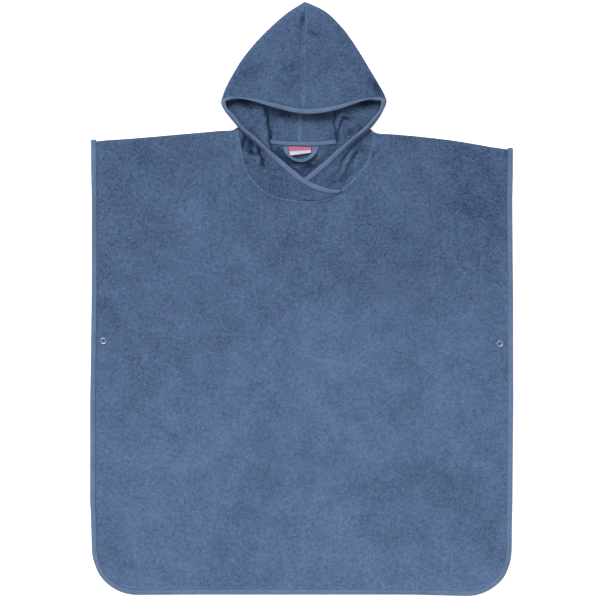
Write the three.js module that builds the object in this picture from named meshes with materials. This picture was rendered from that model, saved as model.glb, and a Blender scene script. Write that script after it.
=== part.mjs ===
// Hooded bath poncho laid flat on its back, hood and collar folded as worn.
// Millimetres, +Z up, +Y toward the hood, origin under the middle of the cloth.
import * as THREE from 'three';

// Cloth and tape
const terryThick = 2.4;
const squeezedThick = 1.0;      // terry gripped inside a binding or a snap
const tapeThick = 1.0;
const seamGap = 0.3;
const seamSqueeze = 0.8;         // terry loses this much of its thickness in a seam
const seamEdgeThick = terryThick - seamSqueeze;      // terry edge where it meets a seam
const foldThick = 1.3;          // terry pressed in the folded collar
const bindingWidth = 8.0;       // visible width of the folded tape

// Levels of the stacked layers
const backMiddle = terryThick / 2;
const backBoundMiddle = squeezedThick / 2 + seamGap + tapeThick;
const bindingHalf = squeezedThick / 2 + seamGap + tapeThick;
const frontMiddle = terryThick + seamGap + terryThick / 2;
const frontBoundMiddle = 2 * bindingHalf + seamGap + bindingHalf;

// Body outline, measured over the bindings
const halfWidth = 324.8;
const hemLine = -456.4;
const cornerRadius = 80;
const boundBand = bindingWidth + 0.5;    // from the open cloth out to the cut edge
const seamBand = 1.6;
const tapeOverhang = seamGap + tapeThick;

// Snaps
const snapRadius = 5;
const snapFlat = 12;
const snapFade = 24;
const snaps = [
  { side: 'left', x: -304.9, y: -66.2 },
  { side: 'right', x: 305.8, y: -70.4 },
];

const group = new THREE.Group();
group.name = 'hooded_bath_poncho';

const terryColour = 0x59708f;
const tapeColour = 0x667ba0;
const metalColour = 0xc2c6cc;
const labelColour = 0xd8c0d0;

function smooth(value) {
  const t = Math.min(1, Math.max(0, value));
  return t * t * (3 - 2 * t);
}

function mix(a, b, t) {
  return a + (b - a) * t;
}

function vector(values) {
  return new THREE.Vector3(values[0], values[1], values[2]);
}

// Height of a polyline given as x, y rows
function lineAt(rows, x) {
  if (x <= rows[0][0]) {
    return rows[0][1];
  }
  for (let i = 1; i < rows.length; i += 1) {
    if (x <= rows[i][0]) {
      const t = (x - rows[i - 1][0]) / (rows[i][0] - rows[i - 1][0]);
      return mix(rows[i - 1][1], rows[i][1], t);
    }
  }
  return rows[rows.length - 1][1];
}

// Closed body from points and triangles, turned to face outward
function addBody(name, points, triangles, colour, options = {}) {
  let volume = 0;
  for (const [a, b, c] of triangles) {
    volume += points[a].dot(new THREE.Vector3().crossVectors(points[b], points[c]));
  }
  const index = [];
  for (const [a, b, c] of triangles) {
    if (volume > 0) {
      index.push(a, b, c);
    } else {
      index.push(a, c, b);
    }
  }
  const flat = [];
  for (const point of points) {
    flat.push(point.x, point.y, point.z);
  }
  const geometry = new THREE.BufferGeometry();
  geometry.setAttribute('position', new THREE.Float32BufferAttribute(flat, 3));
  geometry.setIndex(index);
  geometry.computeVertexNormals();
  const material = new THREE.MeshStandardMaterial({
    color: colour,
    roughness: options.roughness ?? 0.95,
    metalness: options.metalness ?? 0,
  });
  const mesh = new THREE.Mesh(geometry, material);
  mesh.name = name;
  group.add(mesh);
}

// Body swept through section rings, closed on itself or capped at its ends
function addSweep(name, rings, section, closed, colour) {
  const count = section.length;
  const points = rings.flat();
  const triangles = [];
  const last = closed ? rings.length : rings.length - 1;
  for (let i = 0; i < last; i += 1) {
    const next = (i + 1) % rings.length;
    for (let j = 0; j < count; j += 1) {
      const k = (j + 1) % count;
      const a = i * count + j;
      const b = i * count + k;
      const c = next * count + k;
      const d = next * count + j;
      triangles.push([a, b, c], [a, c, d]);
    }
  }
  if (!closed) {
    const contour = section.map(([s, v]) => new THREE.Vector2(s, v));
    const start = (rings.length - 1) * count;
    for (const [a, b, c] of THREE.ShapeUtils.triangulateShape(contour, [])) {
      if (capTurnsWithSection(contour, a, b, c)) {
        triangles.push([c, b, a], [start + a, start + b, start + c]);
      } else {
        triangles.push([a, b, c], [start + c, start + b, start + a]);
      }
    }
  }
  addBody(name, points, triangles, colour);
}

// True where a cap triangle turns the same way as the section is listed
function capTurnsWithSection(contour, a, b, c) {
  const ab = contour[b].clone().sub(contour[a]);
  const ac = contour[c].clone().sub(contour[a]);
  return ab.cross(ac) * THREE.ShapeUtils.area(contour) > 0;
}

// Wall between two grids of points that share their border
function addWall(name, upper, lower, colour) {
  const rows = upper.length;
  const columns = upper[0].length;
  const points = [...upper.flat(), ...lower.flat()];
  const under = rows * columns;
  const at = (i, j) => i * columns + j;
  const triangles = [];
  for (let i = 0; i < rows - 1; i += 1) {
    for (let j = 0; j < columns - 1; j += 1) {
      const [a, b, c, d] = [at(i, j), at(i, j + 1), at(i + 1, j + 1), at(i + 1, j)];
      triangles.push([a, b, c], [a, c, d]);
      triangles.push([under + c, under + b, under + a], [under + d, under + c, under + a]);
    }
  }
  const border = [];
  for (let j = 0; j < columns - 1; j += 1) {
    border.push(at(0, j));
  }
  for (let i = 0; i < rows - 1; i += 1) {
    border.push(at(i, columns - 1));
  }
  for (let j = columns - 1; j > 0; j -= 1) {
    border.push(at(rows - 1, j));
  }
  for (let i = rows - 1; i > 0; i -= 1) {
    border.push(at(i, 0));
  }
  addRim(triangles, border, under);
  addBody(name, points, triangles, colour);
}

// Side faces between an upper border and the same border of the lower grid
function addRim(triangles, border, under) {
  for (let i = 0; i < border.length; i += 1) {
    const a = border[i];
    const b = border[(i + 1) % border.length];
    triangles.push([b, a, under + a], [b, under + a, under + b]);
  }
}

// Straight section point placed at a station of a tape
function stationPoint(station, s, v) {
  return station.at.clone()
    .addScaledVector(station.outward, s)
    .addScaledVector(station.up, v);
}

// Looser fold of the tape where it turns round the hood tips
const curvedSlack = 0.15;

// Folded tape: s runs outward from the cut edge, v across the cloth
function bindingSection(leg, slack) {
  const inner = squeezedThick / 2 + seamGap + slack;
  const outer = bindingHalf + slack;
  return [
    [-leg, outer],
    [0.5, outer],
    [tapeOverhang, 0],
    [0.5, -outer],
    [-leg, -outer],
    [-leg, -inner],
    [seamGap + slack, -inner],
    [seamGap + slack, inner],
    [-leg, inner],
  ];
}

// Panels. Top lines of the open cloth as x, y rows, left to right
const frontTop = [
  [-314.8, 237.0], [-254.7, 242.6], [-184.5, 248.8], [-140.0, 253.0], [-105.4, 255.7],
  [-101.4, 252.0], [-98.8, 240.0], [-96.0, 224.0], [-93.0, 208.0], [-88.5, 195.0],
  [-81.0, 184.0], [-70.0, 172.5], [-56.5, 159.0], [-40.0, 151.5], [-18.0, 147.5],
  [6.0, 145.8], [30.0, 147.3], [52.0, 155.4], [72.0, 168.0], [84.5, 179.5],
  [95.5, 193.0], [104.5, 206.5], [109.3, 220.0], [113.8, 238.0], [116.0, 250.0],
  [120.0, 252.6], [174.3, 245.8], [229.0, 239.4], [267.4, 233.2], [314.8, 226.0],
];
const backTop = [
  [-314.8, 237.0], [-254.7, 242.6], [-184.5, 248.8], [-105.4, 255.7],
  [-98.0, 253.6], [-88.0, 249.6], [-76.0, 244.8], [-62.0, 240.6], [-31.0, 237.2], [0.0, 236.2],
  [30.0, 236.8], [60.0, 239.2], [86.0, 243.0], [101.0, 248.4], [112.0, 253.6],
  [120.0, 252.6], [174.3, 245.8], [267.4, 233.2], [314.8, 226.0],
];
const innerRadius = cornerRadius - boundBand - tapeOverhang;
const innerHalf = halfWidth - boundBand - tapeOverhang;
const innerHem = hemLine + boundBand + tapeOverhang;

// Lower line of the open cloth
function bottomAt(x) {
  const past = Math.abs(x) - (innerHalf - innerRadius);
  if (past <= 0) {
    return innerHem;
  }
  const rise = Math.sqrt(Math.max(0, innerRadius ** 2 - past ** 2));
  return innerHem + innerRadius - rise;
}

// Sides bow in a little between shoulder and hem
function bowed(point) {
  const along = (point.y + 140) / 330;
  const bow = 2.2 * Math.max(0, 1 - along * along);
  point.x *= 1 - bow / halfWidth;
  return point;
}

// Broad soft swells of the upper cloth, named by place, size and height
const swells = [
  { x: -170, y: 60, across: 120, along: 190, height: 0.9 },
  { x: 150, y: 20, across: 110, along: 230, height: 1.0 },
  { x: -60, y: -250, across: 160, along: 110, height: 0.8 },
  { x: 190, y: -300, across: 90, along: 100, height: 0.7 },
];

function swellAt(x, y) {
  let lift = 0;
  for (const swell of swells) {
    const r = Math.hypot((x - swell.x) / swell.across, (y - swell.y) / swell.along);
    lift += swell.height * smooth(1 - r);
  }
  return lift;
}

function snapGrip(x, y) {
  let grip = 0;
  for (const snap of snaps) {
    const r = Math.hypot(x - snap.x, y - snap.y);
    grip = Math.max(grip, smooth(1 - (r - snapFlat) / snapFade));
  }
  return grip;
}

// Rows between the rounded corners and the neckline lie level
const lowLine = -120;
const highLine = 110;
const levelRows = [-120, -96, -80, -68, -56, -40, 20, 110];
const lowShares = [0, 0.06, 0.2, 0.45, 0.72];
const highShares = [0.3, 0.6, 0.85, 1];

function panelColumns(topRows) {
  const xs = [];
  for (const degrees of [90, 72, 54, 36, 18]) {
    xs.push(-innerHalf + innerRadius * (1 - Math.sin(degrees * Math.PI / 180)));
  }
  xs.push(-296, -288, ...topRows.slice(1, -1).map((row) => row[0]), 288, 297);
  for (const degrees of [18, 36, 54, 72, 90]) {
    xs.push(innerHalf - innerRadius * (1 - Math.sin(degrees * Math.PI / 180)));
  }
  xs.sort((a, b) => a - b);
  return xs.filter((x, i) => i === 0 || x - xs[i - 1] > 2.2);
}

// Outward move of a border point whose two edges move out by their own distances
function borderMove(before, here, after, distanceIn, distanceOut) {
  const first = new THREE.Vector2(here.y - before.y, before.x - here.x).normalize();
  const second = new THREE.Vector2(after.y - here.y, here.x - after.x).normalize();
  const turn = first.cross(second);
  if (Math.abs(turn) < 0.2) {
    const middle = first.add(second).normalize();
    return middle.multiplyScalar((distanceIn + distanceOut) / 2);
  }
  return new THREE.Vector2(
    (distanceIn * second.y - distanceOut * first.y) / turn,
    (distanceOut * first.x - distanceIn * second.x) / turn,
  );
}

// One body panel; returns the stations of its bound edge from left shoulder to right
function addPanel(name, topRows, middle, boundMiddle, swellShare) {
  const xs = panelColumns(topRows);
  const plan = [];
  for (const x of xs) {
    const column = [];
    const bottom = bottomAt(x);
    const top = lineAt(topRows, x);
    for (const share of lowShares) {
      column.push(new THREE.Vector2(x, mix(bottom, lowLine, share)));
    }
    for (const y of levelRows) {
      column.push(new THREE.Vector2(x, y));
    }
    for (const share of highShares) {
      column.push(new THREE.Vector2(x, mix(highLine, top, share)));
    }
    plan.push(column);
  }
  const columns = plan.length;
  const rows = plan[0].length;
  const border = [];
  for (let i = 0; i < columns; i += 1) {
    border.push({ i, j: 0 });
  }
  for (let j = 1; j < rows; j += 1) {
    border.push({ i: columns - 1, j });
  }
  for (let i = columns - 2; i >= 0; i -= 1) {
    border.push({ i, j: rows - 1 });
  }
  for (let j = rows - 2; j > 0; j -= 1) {
    border.push({ i: 0, j });
  }
  const isTop = (a, b) => a.j === rows - 1 && b.j === rows - 1;
  const spots = [];
  const place = (point, grip, thick) => {
    const lift = swellShare * swellAt(point.x, point.y) * (1 - grip);
    const centre = mix(middle, boundMiddle, grip) + lift;
    spots.push({ point, centre, thick });
  };
  for (let i = 0; i < columns; i += 1) {
    for (let j = 0; j < rows; j += 1) {
      const bound = i === 0 || i === columns - 1 || j === 0;
      const point = plan[i][j];
      const grip = Math.max(bound ? 0.5 : 0, snapGrip(point.x, point.y));
      place(point.clone(), grip, mix(terryThick, squeezedThick, grip));
    }
  }
  // Two bands go round the open cloth: into the tape or into the seam, then to the cut edge
  const bands = [
    { bound: 1.8, seam: 0.6, grip: 1, seamThick: mix(terryThick, seamEdgeThick, 0.4) },
    { bound: boundBand, seam: seamBand, grip: 1, seamThick: seamEdgeThick },
  ];
  const edge = [];
  for (const band of bands) {
    border.forEach((spot, n) => {
      const before = border[(n + border.length - 1) % border.length];
      const after = border[(n + 1) % border.length];
      const here = plan[spot.i][spot.j];
      const distanceIn = isTop(before, spot) ? band.seam : band.bound;
      const distanceOut = isTop(spot, after) ? band.seam : band.bound;
      const from = plan[before.i][before.j];
      const to = plan[after.i][after.j];
      const move = borderMove(from, here, to, distanceIn, distanceOut);
      const point = here.clone().add(move);
      const seamOnly = isTop(before, spot) && isTop(spot, after);
      const besideTape = spot.i <= 1 || spot.i >= columns - 2;
      if (seamOnly && !besideTape) {
        place(point, 0, band.seamThick);
      } else {
        place(point, band.grip, squeezedThick);
      }
      if (band === bands[1] && !seamOnly) {
        edge.push({ n, point, move });
      }
    });
  }
  const upper = [];
  const lower = [];
  for (const spot of spots) {
    const base = new THREE.Vector3(spot.point.x, spot.point.y, 0);
    upper.push(bowed(base.clone()).setZ(spot.centre + spot.thick / 2));
    lower.push(bowed(base.clone()).setZ(spot.centre - spot.thick / 2));
  }
  const under = upper.length;
  const triangles = [];
  const addQuad = (a, b, c, d) => {
    triangles.push([a, b, c], [a, c, d]);
    triangles.push([under + c, under + b, under + a], [under + d, under + c, under + a]);
  };
  for (let i = 0; i < columns - 1; i += 1) {
    for (let j = 0; j < rows - 1; j += 1) {
      addQuad(i * rows + j, (i + 1) * rows + j, (i + 1) * rows + j + 1, i * rows + j + 1);
    }
  }
  let inside = border.map((spot) => spot.i * rows + spot.j);
  for (let band = 0; band < bands.length; band += 1) {
    const start = columns * rows + band * border.length;
    const outside = border.map((spot, n) => start + n);
    for (let n = 0; n < border.length; n += 1) {
      const m = (n + 1) % border.length;
      addQuad(outside[n], outside[m], inside[m], inside[n]);
    }
    inside = outside;
  }
  for (let n = 0; n < inside.length; n += 1) {
    const a = inside[n];
    const b = inside[(n + 1) % inside.length];
    triangles.push([a, under + b, b], [a, under + a, under + b]);
  }
  addBody(name, [...upper, ...lower], triangles, terryColour);
  // Stations from the left shoulder down, along the hem and up the right side
  const lastRight = columns - 1 + rows - 1;
  const ordered = [
    ...edge.filter((spot) => spot.n >= border.length - (rows - 1)),
    ...edge.filter((spot) => spot.n <= lastRight),
  ];
  const topLeft = edge.find((spot) => spot.n === columns - 1 + rows - 1 + columns - 1);
  const path = [topLeft, ...ordered.filter((spot) => spot !== topLeft)];
  return path.map((spot) => {
    const at = bowed(new THREE.Vector3(spot.point.x, spot.point.y, boundMiddle));
    const first = spot === path[0] || spot === path[path.length - 1];
    const side = new THREE.Vector3(Math.sign(spot.point.x), 0, 0);
    const outward = first ? side : new THREE.Vector3(spot.move.x, spot.move.y, 0);
    const stretch = first ? 1 : outward.length() / boundBand;
    outward.setLength(stretch);
    return { at, outward, up: new THREE.Vector3(0, 0, 1) };
  });
}

const frontEdge = addPanel('front_panel', frontTop, frontMiddle, frontBoundMiddle, 1);
const backEdge = addPanel('back_panel', backTop, backMiddle, backBoundMiddle, 0);

// The tape turns over each shoulder end from the front edge to the back edge
function shoulderTurn(from) {
  const radius = (frontBoundMiddle - backBoundMiddle) / 2;
  const stations = [];
  for (const degrees of [0, 45, 90, 135, 180]) {
    const angle = degrees * Math.PI / 180;
    const up = new THREE.Vector3(0, Math.sin(angle), Math.cos(angle));
    const at = from.at.clone();
    at.y += seamGap + radius * Math.sin(angle);
    at.z = backBoundMiddle + radius + radius * Math.cos(angle);
    stations.push({ at, outward: from.outward.clone(), up });
  }
  return stations;
}

function addEdgeBinding() {
  const down = backEdge.map((station) => ({ ...station, up: new THREE.Vector3(0, 0, -1) }));
  const stations = [
    ...frontEdge,
    ...shoulderTurn(frontEdge[frontEdge.length - 1]),
    ...down.reverse(),
    ...shoulderTurn(frontEdge[0]).reverse(),
  ];
  const section = bindingSection(bindingWidth - tapeOverhang, 0);
  const rings = stations.map((station) => (
    section.map(([s, v]) => stationPoint(station, s, v))
  ));
  addSweep('edge_binding', rings, section, true, tapeColour);
}
addEdgeBinding();

// Hood halves. Each row runs from the neck seam, in over the back layer, round the
// outline of the hood and back to the face opening. Columns: base on the neck seam,
// inner fold, back layer, outline, front layer, edge of the opening.
const seamRow = [[-3.4, 238.6, 1.2], [-1.5, 290, 1.2], [0.3, 343, 1.2],
  [5.6, 455.2, 6.8], [3.5, 370, 15.2], [1.4, 283.4, 17]];
const leftRows = [
  [[-17.4, 239, 1.2], [-17.5, 285, 1.2], [-16, 328, 1.2],
    [-24, 437, 6.8], [-17.4, 366, 15.8], [-16.6, 286.2, 19]],
  [[-31.3, 239.8, 1.2], [-34.5, 280, 1.2], [-37, 317, 1.2],
    [-60, 405, 6.8], [-45, 348, 16.5], [-35.9, 291, 21]],
  [[-45.9, 241.2, 1.2], [-49, 266, 1.2], [-55, 305, 1.3],
    [-89, 369, 6.8], [-70, 333, 16.5], [-54.4, 296, 20.5]],
  [[-47.8, 241.8, 1.4], [-51.5, 256, 6.5], [-62, 297, 7.5],
    [-106, 342, 6.8], [-90, 320, 15.5], [-72, 301.4, 18.5]],
  [[-58.5, 244.6, 4.1], [-49.4, 241, 6.7], [-70, 267, 7.8],
    [-116.6, 322, 6], [-106.7, 313, 12.2], [-90.6, 305.4, 15.5]],
  [[-75, 248.4, 4.1], [-48.9, 237.4, 6.7], [-76, 262, 7.5],
    [-122, 307, 4.5], [-116.4, 308.2, 8.6], [-107.8, 305.8, 13.2]],
  [[-87.5, 253, 4.1], [-48.3, 234.2, 6.8], [-78, 259, 7.3],
    [-123, 299.5, 4.5], [-122.2, 301.2, 9], [-117, 302.2, 14.8]],
  [[-95.6, 254.8, 4.1], [-47.6, 231.2, 6.9], [-78.5, 255, 7.8],
    [-118.7, 290, 4.5], [-117.8, 290.6, 9], [-114.4, 292.8, 15]],
  [[-95.6, 246, 4.1], [-47, 228.4, 7], [-73, 249, 8.6],
    [-108.5, 277, 6.3], [-107.4, 277.8, 10.4], [-103.3, 280.4, 16.2]],
  [[-92.6, 231, 4.1], [-46, 224.8, 6.9], [-64, 239, 9.2],
    [-93.5, 259.5, 8.3], [-92.5, 260.6, 11.6], [-89, 264.4, 16.8]],
  [[-89, 212, 4.1], [-43.8, 220.4, 6.6], [-54, 228, 8.6],
    [-74, 241, 9.6], [-72.8, 242.4, 12.4], [-69, 246.6, 16.8]],
  [[-80, 189, 4.1], [-49.5, 208.5, 5.9], [-52, 211.3, 8.4],
    [-54.8, 215.6, 10.4], [-52.4, 219.2, 13], [-47.3, 225, 16]],
  [[-65.5, 171.5, 6.2], [-50, 189, 7.4], [-47.5, 192, 8.9],
    [-44.5, 196, 10.4], [-39.5, 202, 11.9], [-31.3, 211.3, 14.2]],
  [[-46.5, 158, 7.3], [-34, 172, 9.6], [-30, 177, 10.1],
    [-26.5, 181, 10.7], [-21.5, 187, 11.8], [-13.6, 196.3, 13.4]],
  [[-17.4, 150.6, 7], [-9, 161.5, 9.4], [-6.3, 165, 9.9],
    [-3.8, 168.5, 10.4], [-0.7, 173, 11.2], [5.7, 181.7, 12.6]],
  [[8.8, 148.2, 7], [13, 154.5, 8.4], [14.6, 157, 8.8],
    [16.3, 159.8, 9.2], [18.5, 163.3, 9.8], [24.2, 172.5, 10.8]],
  [[28.8, 149.6, 7], [32.5, 153.4, 7.5], [33.8, 155, 7.7],
    [35.2, 156.6, 7.9], [37, 158.7, 8.1], [44.2, 166.9, 8.8]],
  [[45.8, 154.4, 7.3], [48.5, 156.3, 7.3], [49.8, 157.2, 7.3],
    [51.1, 158.1, 7.4], [52.8, 159.2, 7.4], [61.9, 165.4, 7.5]],
];
const rightRows = [
  [[11, 239, 1.2], [15, 285, 1.2], [18, 328, 1.2],
    [36.8, 440, 6.8], [19.6, 366, 15.8], [20.3, 283.2, 18.8]],
  [[32, 239.8, 1.2], [36, 280, 1.2], [38, 317, 1.2],
    [65, 412, 6.8], [50.4, 351, 16.5], [39.6, 285.7, 20.5]],
  [[51.5, 241.4, 1.2], [49.3, 266, 1.2], [52, 305, 1.3],
    [87.6, 380, 6.8], [75, 336, 16.5], [61.1, 291, 20.2]],
  [[55.2, 242.2, 1.4], [53.5, 256, 6.5], [62, 297, 7.5],
    [106, 350, 6.8], [93.5, 323, 15.5], [79.6, 297.4, 18.2]],
  [[65, 244.8, 4.1], [54, 240.4, 6.7], [74, 267, 7.8],
    [119, 328.6, 6], [112, 314, 12.2], [97.3, 303, 15.5]],
  [[81, 247.4, 4.1], [54.2, 236.6, 6.8], [80, 262, 7.5],
    [128, 312.6, 4.5], [121.5, 309, 8.6], [112.7, 305, 12.8]],
  [[97.5, 251.4, 4.1], [54.3, 233, 6.9], [82, 258, 7.3],
    [130.7, 302.6, 4.5], [128.6, 303, 9], [123.5, 303.7, 14.8]],
  [[108.8, 253.6, 4.1], [54.6, 230.2, 7], [84, 256, 7.8],
    [125.8, 289.2, 4.5], [124.6, 289.3, 9], [120.6, 289.5, 15]],
  [[110.6, 244, 4.1], [54.6, 227.4, 7.1], [79, 246, 8.6],
    [117.5, 275, 6.3], [116.2, 275.4, 10.4], [111, 276.6, 16.2]],
  [[107, 229, 4.1], [54.2, 223.8, 6.9], [72, 236, 9.2],
    [101, 255.6, 8.3], [100, 256.8, 11.6], [96.6, 260.6, 16.8]],
  [[102.8, 212.5, 4.1], [52.6, 219.6, 6.6], [62, 226.5, 8.6],
    [82, 238.8, 9.6], [80.9, 240.2, 12.4], [77.3, 244.6, 16.8]],
  [[92.5, 196.6, 4.1], [59, 210, 5.9], [61.4, 212.8, 8.4],
    [64, 217, 10.4], [61, 220.4, 13], [55.7, 226, 16]],
  [[76, 177.6, 4.1], [59.5, 195.5, 5.8], [57, 198.2, 7.4],
    [54, 201.6, 8.9], [49.5, 206, 10.4], [41.9, 213.6, 13]],
  [[55.3, 161.4, 4.1], [42, 178.5, 5.6], [39, 182.5, 6.2],
    [36, 186.5, 6.9], [32, 191.7, 8], [25.7, 200.5, 10]],
  [[30, 150.6, 4], [20.5, 165, 4.9], [18.3, 168.4, 5.3],
    [16, 172, 5.8], [12.7, 177, 6.6], [7.2, 185.4, 8]],
  [[2.6, 149.2, 4], [-1.5, 156.5, 4.2], [-3, 159.3, 4.4],
    [-4.5, 162.2, 4.7], [-6.3, 165.9, 5], [-11.2, 175.6, 6]],
  [[-19, 151.6, 4], [-21.5, 155, 4.1], [-22.6, 156.8, 4.2],
    [-23.7, 158.5, 4.3], [-25, 160.6, 4.4], [-30.5, 169.4, 5]],
  [[-39, 156.5, 4], [-40, 157.5, 4], [-40.9, 158.4, 4.1],
    [-41.8, 159.3, 4.1], [-42.6, 160.2, 4.2], [-48.2, 166, 4.6]],
];
// Half height of the inner fold and of the outline fold, a pair for each row
const foldHeights = [
  [0, 4], [0, 4], [0, 4], [0, 4], [1.2, 4], [2.5, 3.4], [2.5, 2.6], [2.5, 2.6], [2.5, 2.4],
  [2.5, 2.2], [2.4, 1.9], [2, 1.6], [1.5, 1.2], [0.8, 0.2], [0.2, 0.2], [0.1, 0.1], [0.1, 0.1],
  [0.1, 0.1], [0, 0],
];
const rowSteps = [2, 2, 2, 2, 3, 4, 4, 2, 2, 2, 3, 3, 2, 2, 2, 1, 1, 1];
const columnSteps = [2, 2, 2, 2, 2, 2, 2, 2, 1];
const foldInset = 2.6;
const gripLength = 8.5;
const gripShare = 0.79;

// Ten points across a row: the named columns with each fold opened into three
function rowPoints(row, heights) {
  const [base, fold, back, outline, front, edge] = row.map(vector);
  const beside = (from, toward, rise) => {
    const step = toward.clone().sub(from).setZ(0);
    const length = Math.min(foldInset, step.length() / 2);
    return from.clone().add(step.setLength(length)).setZ(from.z + rise);
  };
  const grip = front.clone().sub(edge);
  grip.setLength(Math.min(gripLength, grip.length() * 0.85)).add(edge);
  return [
    base,
    beside(fold, base, -heights[0]), fold, beside(fold, back, heights[0]),
    back,
    beside(outline, back, -heights[1]), outline, beside(outline, front, heights[1]),
    front, grip, edge,
  ];
}

// Grid of points on the middle surface of one hood half
function hoodGrid(rows) {
  const stations = rows.map((row, i) => rowPoints(row, foldHeights[i]));
  const lanes = stations[0].map((point, k) => (
    new THREE.CatmullRomCurve3(stations.map((row) => row[k]), false, 'centripetal')
  ));
  const last = rows.length - 1;
  const grid = [];
  rowSteps.forEach((steps, i) => {
    const count = i === rowSteps.length - 1 ? steps + 1 : steps;
    for (let n = 0; n < count; n += 1) {
      const across = lanes.map((lane) => lane.getPoint((i + n / steps) / last));
      grid.push(hoodRow(across));
    }
  });
  return grid;
}

function hoodRow(across) {
  const edge = across[across.length - 1];
  const curve = new THREE.CatmullRomCurve3(across.slice(0, -1), false, 'centripetal');
  const spans = columnSteps.length;
  const row = [];
  columnSteps.forEach((steps, i) => {
    for (let n = 0; n < steps; n += 1) {
      row.push(curve.getPoint((i + n / steps) / spans));
    }
  });
  const grip = across[across.length - 2];
  row.push(grip.clone());
  row.push(edge.clone().lerp(grip, gripShare));
  row.push(edge.clone());
  for (const point of row) {
    point.z = Math.max(point.z, restLevel(point) + backMiddle);
  }
  return row;
}

function gridNormal(grid, i, j) {
  const along = grid[Math.min(i + 1, grid.length - 1)][j].clone()
    .sub(grid[Math.max(i - 1, 0)][j]);
  const across = grid[i][Math.min(j + 1, grid[i].length - 1)].clone()
    .sub(grid[i][Math.max(j - 1, 0)]);
  return across.cross(along).normalize();
}

// Level that the cloth rests on: the table, or the back panel below its neckline
function restLevel(point) {
  const neckline = lineAt(backTop, point.x) + seamBand + 0.5;
  return point.y < neckline ? terryThick + seamGap : 0;
}

// Terry is pressed thinner where the crown passes into the folded collar
function foldedThick(i) {
  return mix(terryThick, foldThick, smooth((i - 4) / 7));
}

// Normal of the wall: upright along the top seam, constant inside the binding
function wallNormal(grid, i, j) {
  const last = grid[0].length - 1;
  const normal = gridNormal(grid, i, j === last - 1 ? last : j);
  if (i === 0) {
    normal.setX(0).normalize();
  }
  return normal;
}

// One hood half; returns the stations of its free edge from the top seam down
function addHoodHalf(name, rows) {
  const grid = hoodGrid(rows);
  const columns = grid[0].length;
  const upper = [];
  const lower = [];
  grid.forEach((row, i) => {
    upper.push([]);
    lower.push([]);
    row.forEach((point, j) => {
      const normal = wallNormal(grid, i, j);
      let thick = foldedThick(i);
      if (j === 0 || i === 0) {
        thick = Math.max(squeezedThick, thick - seamSqueeze);
      }
      if (j >= columns - 2) {
        thick = squeezedThick;
      }
      const one = point.clone().addScaledVector(normal, thick / 2);
      const two = point.clone().addScaledVector(normal, -thick / 2);
      const rest = restLevel(point);
      one.z = Math.max(one.z, rest);
      two.z = Math.max(two.z, rest);
      upper[i].push(one);
      lower[i].push(two);
    });
  });
  addWall(name, upper, lower, terryColour);
  return grid.map((row, i) => {
    const at = row[columns - 1];
    const outward = at.clone().sub(row[columns - 2]).normalize();
    const up = wallNormal(grid, i, columns - 1);
    const leg = at.distanceTo(row[columns - 2]) - seamGap;
    return { at, outward, up, leg };
  });
}

function shifted(row, dx) {
  return row.map(([x, y, z]) => [x + dx, y, z]);
}
const halfGap = seamGap / 2;
const leftEdge = addHoodHalf('hood_left', [shifted(seamRow, -halfGap), ...leftRows]);
const rightEdge = addHoodHalf('hood_right', [shifted(seamRow, halfGap), ...rightRows]);

// One tape from the left collar end, round the opening, to the right collar end
function addHoodBinding() {
  const flip = (station) => ({ ...station, up: station.up.clone().negate() });
  const right = rightEdge.map(flip);
  const middle = {
    at: leftEdge[0].at.clone().lerp(right[0].at, 0.5),
    outward: leftEdge[0].outward.clone().add(right[0].outward).normalize(),
    up: leftEdge[0].up.clone().add(right[0].up).normalize(),
    leg: leftEdge[0].leg,
  };
  const stations = [...leftEdge.slice(1).reverse(), middle, ...right.slice(1)];
  const rings = stations.map((station) => (
    bindingSection(station.leg, curvedSlack).map(([s, v]) => stationPoint(station, s, v))
  ));
  addSweep('hood_binding', rings, bindingSection(bindingWidth, curvedSlack), false, tapeColour);
}
addHoodBinding();

// Flat tape over the back neck seam, slightly curved with it
function addNeckTape() {
  const width = 6.4;
  const level = terryThick + seamGap;
  const line = [[-45.4, 240.6], [-24, 238.6], [3, 238.0], [30, 238.6], [50.8, 240.4]];
  const section = [[-width / 2, 0], [width / 2, 0], [width / 2, tapeThick], [-width / 2, tapeThick]];
  const rings = line.map(([x, y]) => (
    section.map(([s, v]) => new THREE.Vector3(x, y + s, level + v))
  ));
  addSweep('neck_tape', rings, section, false, tapeColour);
}
addNeckTape();

// Hanger loop: tape that lies flat at both ends and stands on edge at its lowest point
function addHangerLoop() {
  const centreX = -0.8;
  const topY = 233.6;
  const halfSpan = 26.8;
  const drop = 24.3;
  const width = 9;
  const flatLevel = terryThick + seamGap + tapeThick / 2;
  const steps = 20;
  const section = [
    [-width / 2, -tapeThick / 2], [width / 2, -tapeThick / 2],
    [width / 2, tapeThick / 2], [-width / 2, tapeThick / 2],
  ];
  const rings = [];
  for (let i = 0; i <= steps; i += 1) {
    const angle = Math.PI * i / steps;
    const across = Math.cos(angle);
    const down = Math.sin(angle);
    const outward = new THREE.Vector3(-across, -down, 0);
    const tilt = 1.05 * smooth(down);
    const lift = Math.sin(tilt) * width / 2 + Math.cos(tilt) * tapeThick / 2;
    const at = new THREE.Vector3(
      centreX - across * (halfSpan - width / 2),
      topY - down * (drop - width / 2 * Math.cos(tilt)),
      Math.max(flatLevel, terryThick + seamGap + lift),
    );
    const flat = outward.clone().multiplyScalar(Math.cos(tilt)).setZ(Math.sin(tilt));
    const up = outward.clone().multiplyScalar(-Math.sin(tilt)).setZ(Math.cos(tilt));
    rings.push(section.map(([s, v]) => stationPoint({ at, outward: flat, up }, s, v)));
  }
  addSweep('hanger_loop', rings, section, false, tapeColour);
}
addHangerLoop();

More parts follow.
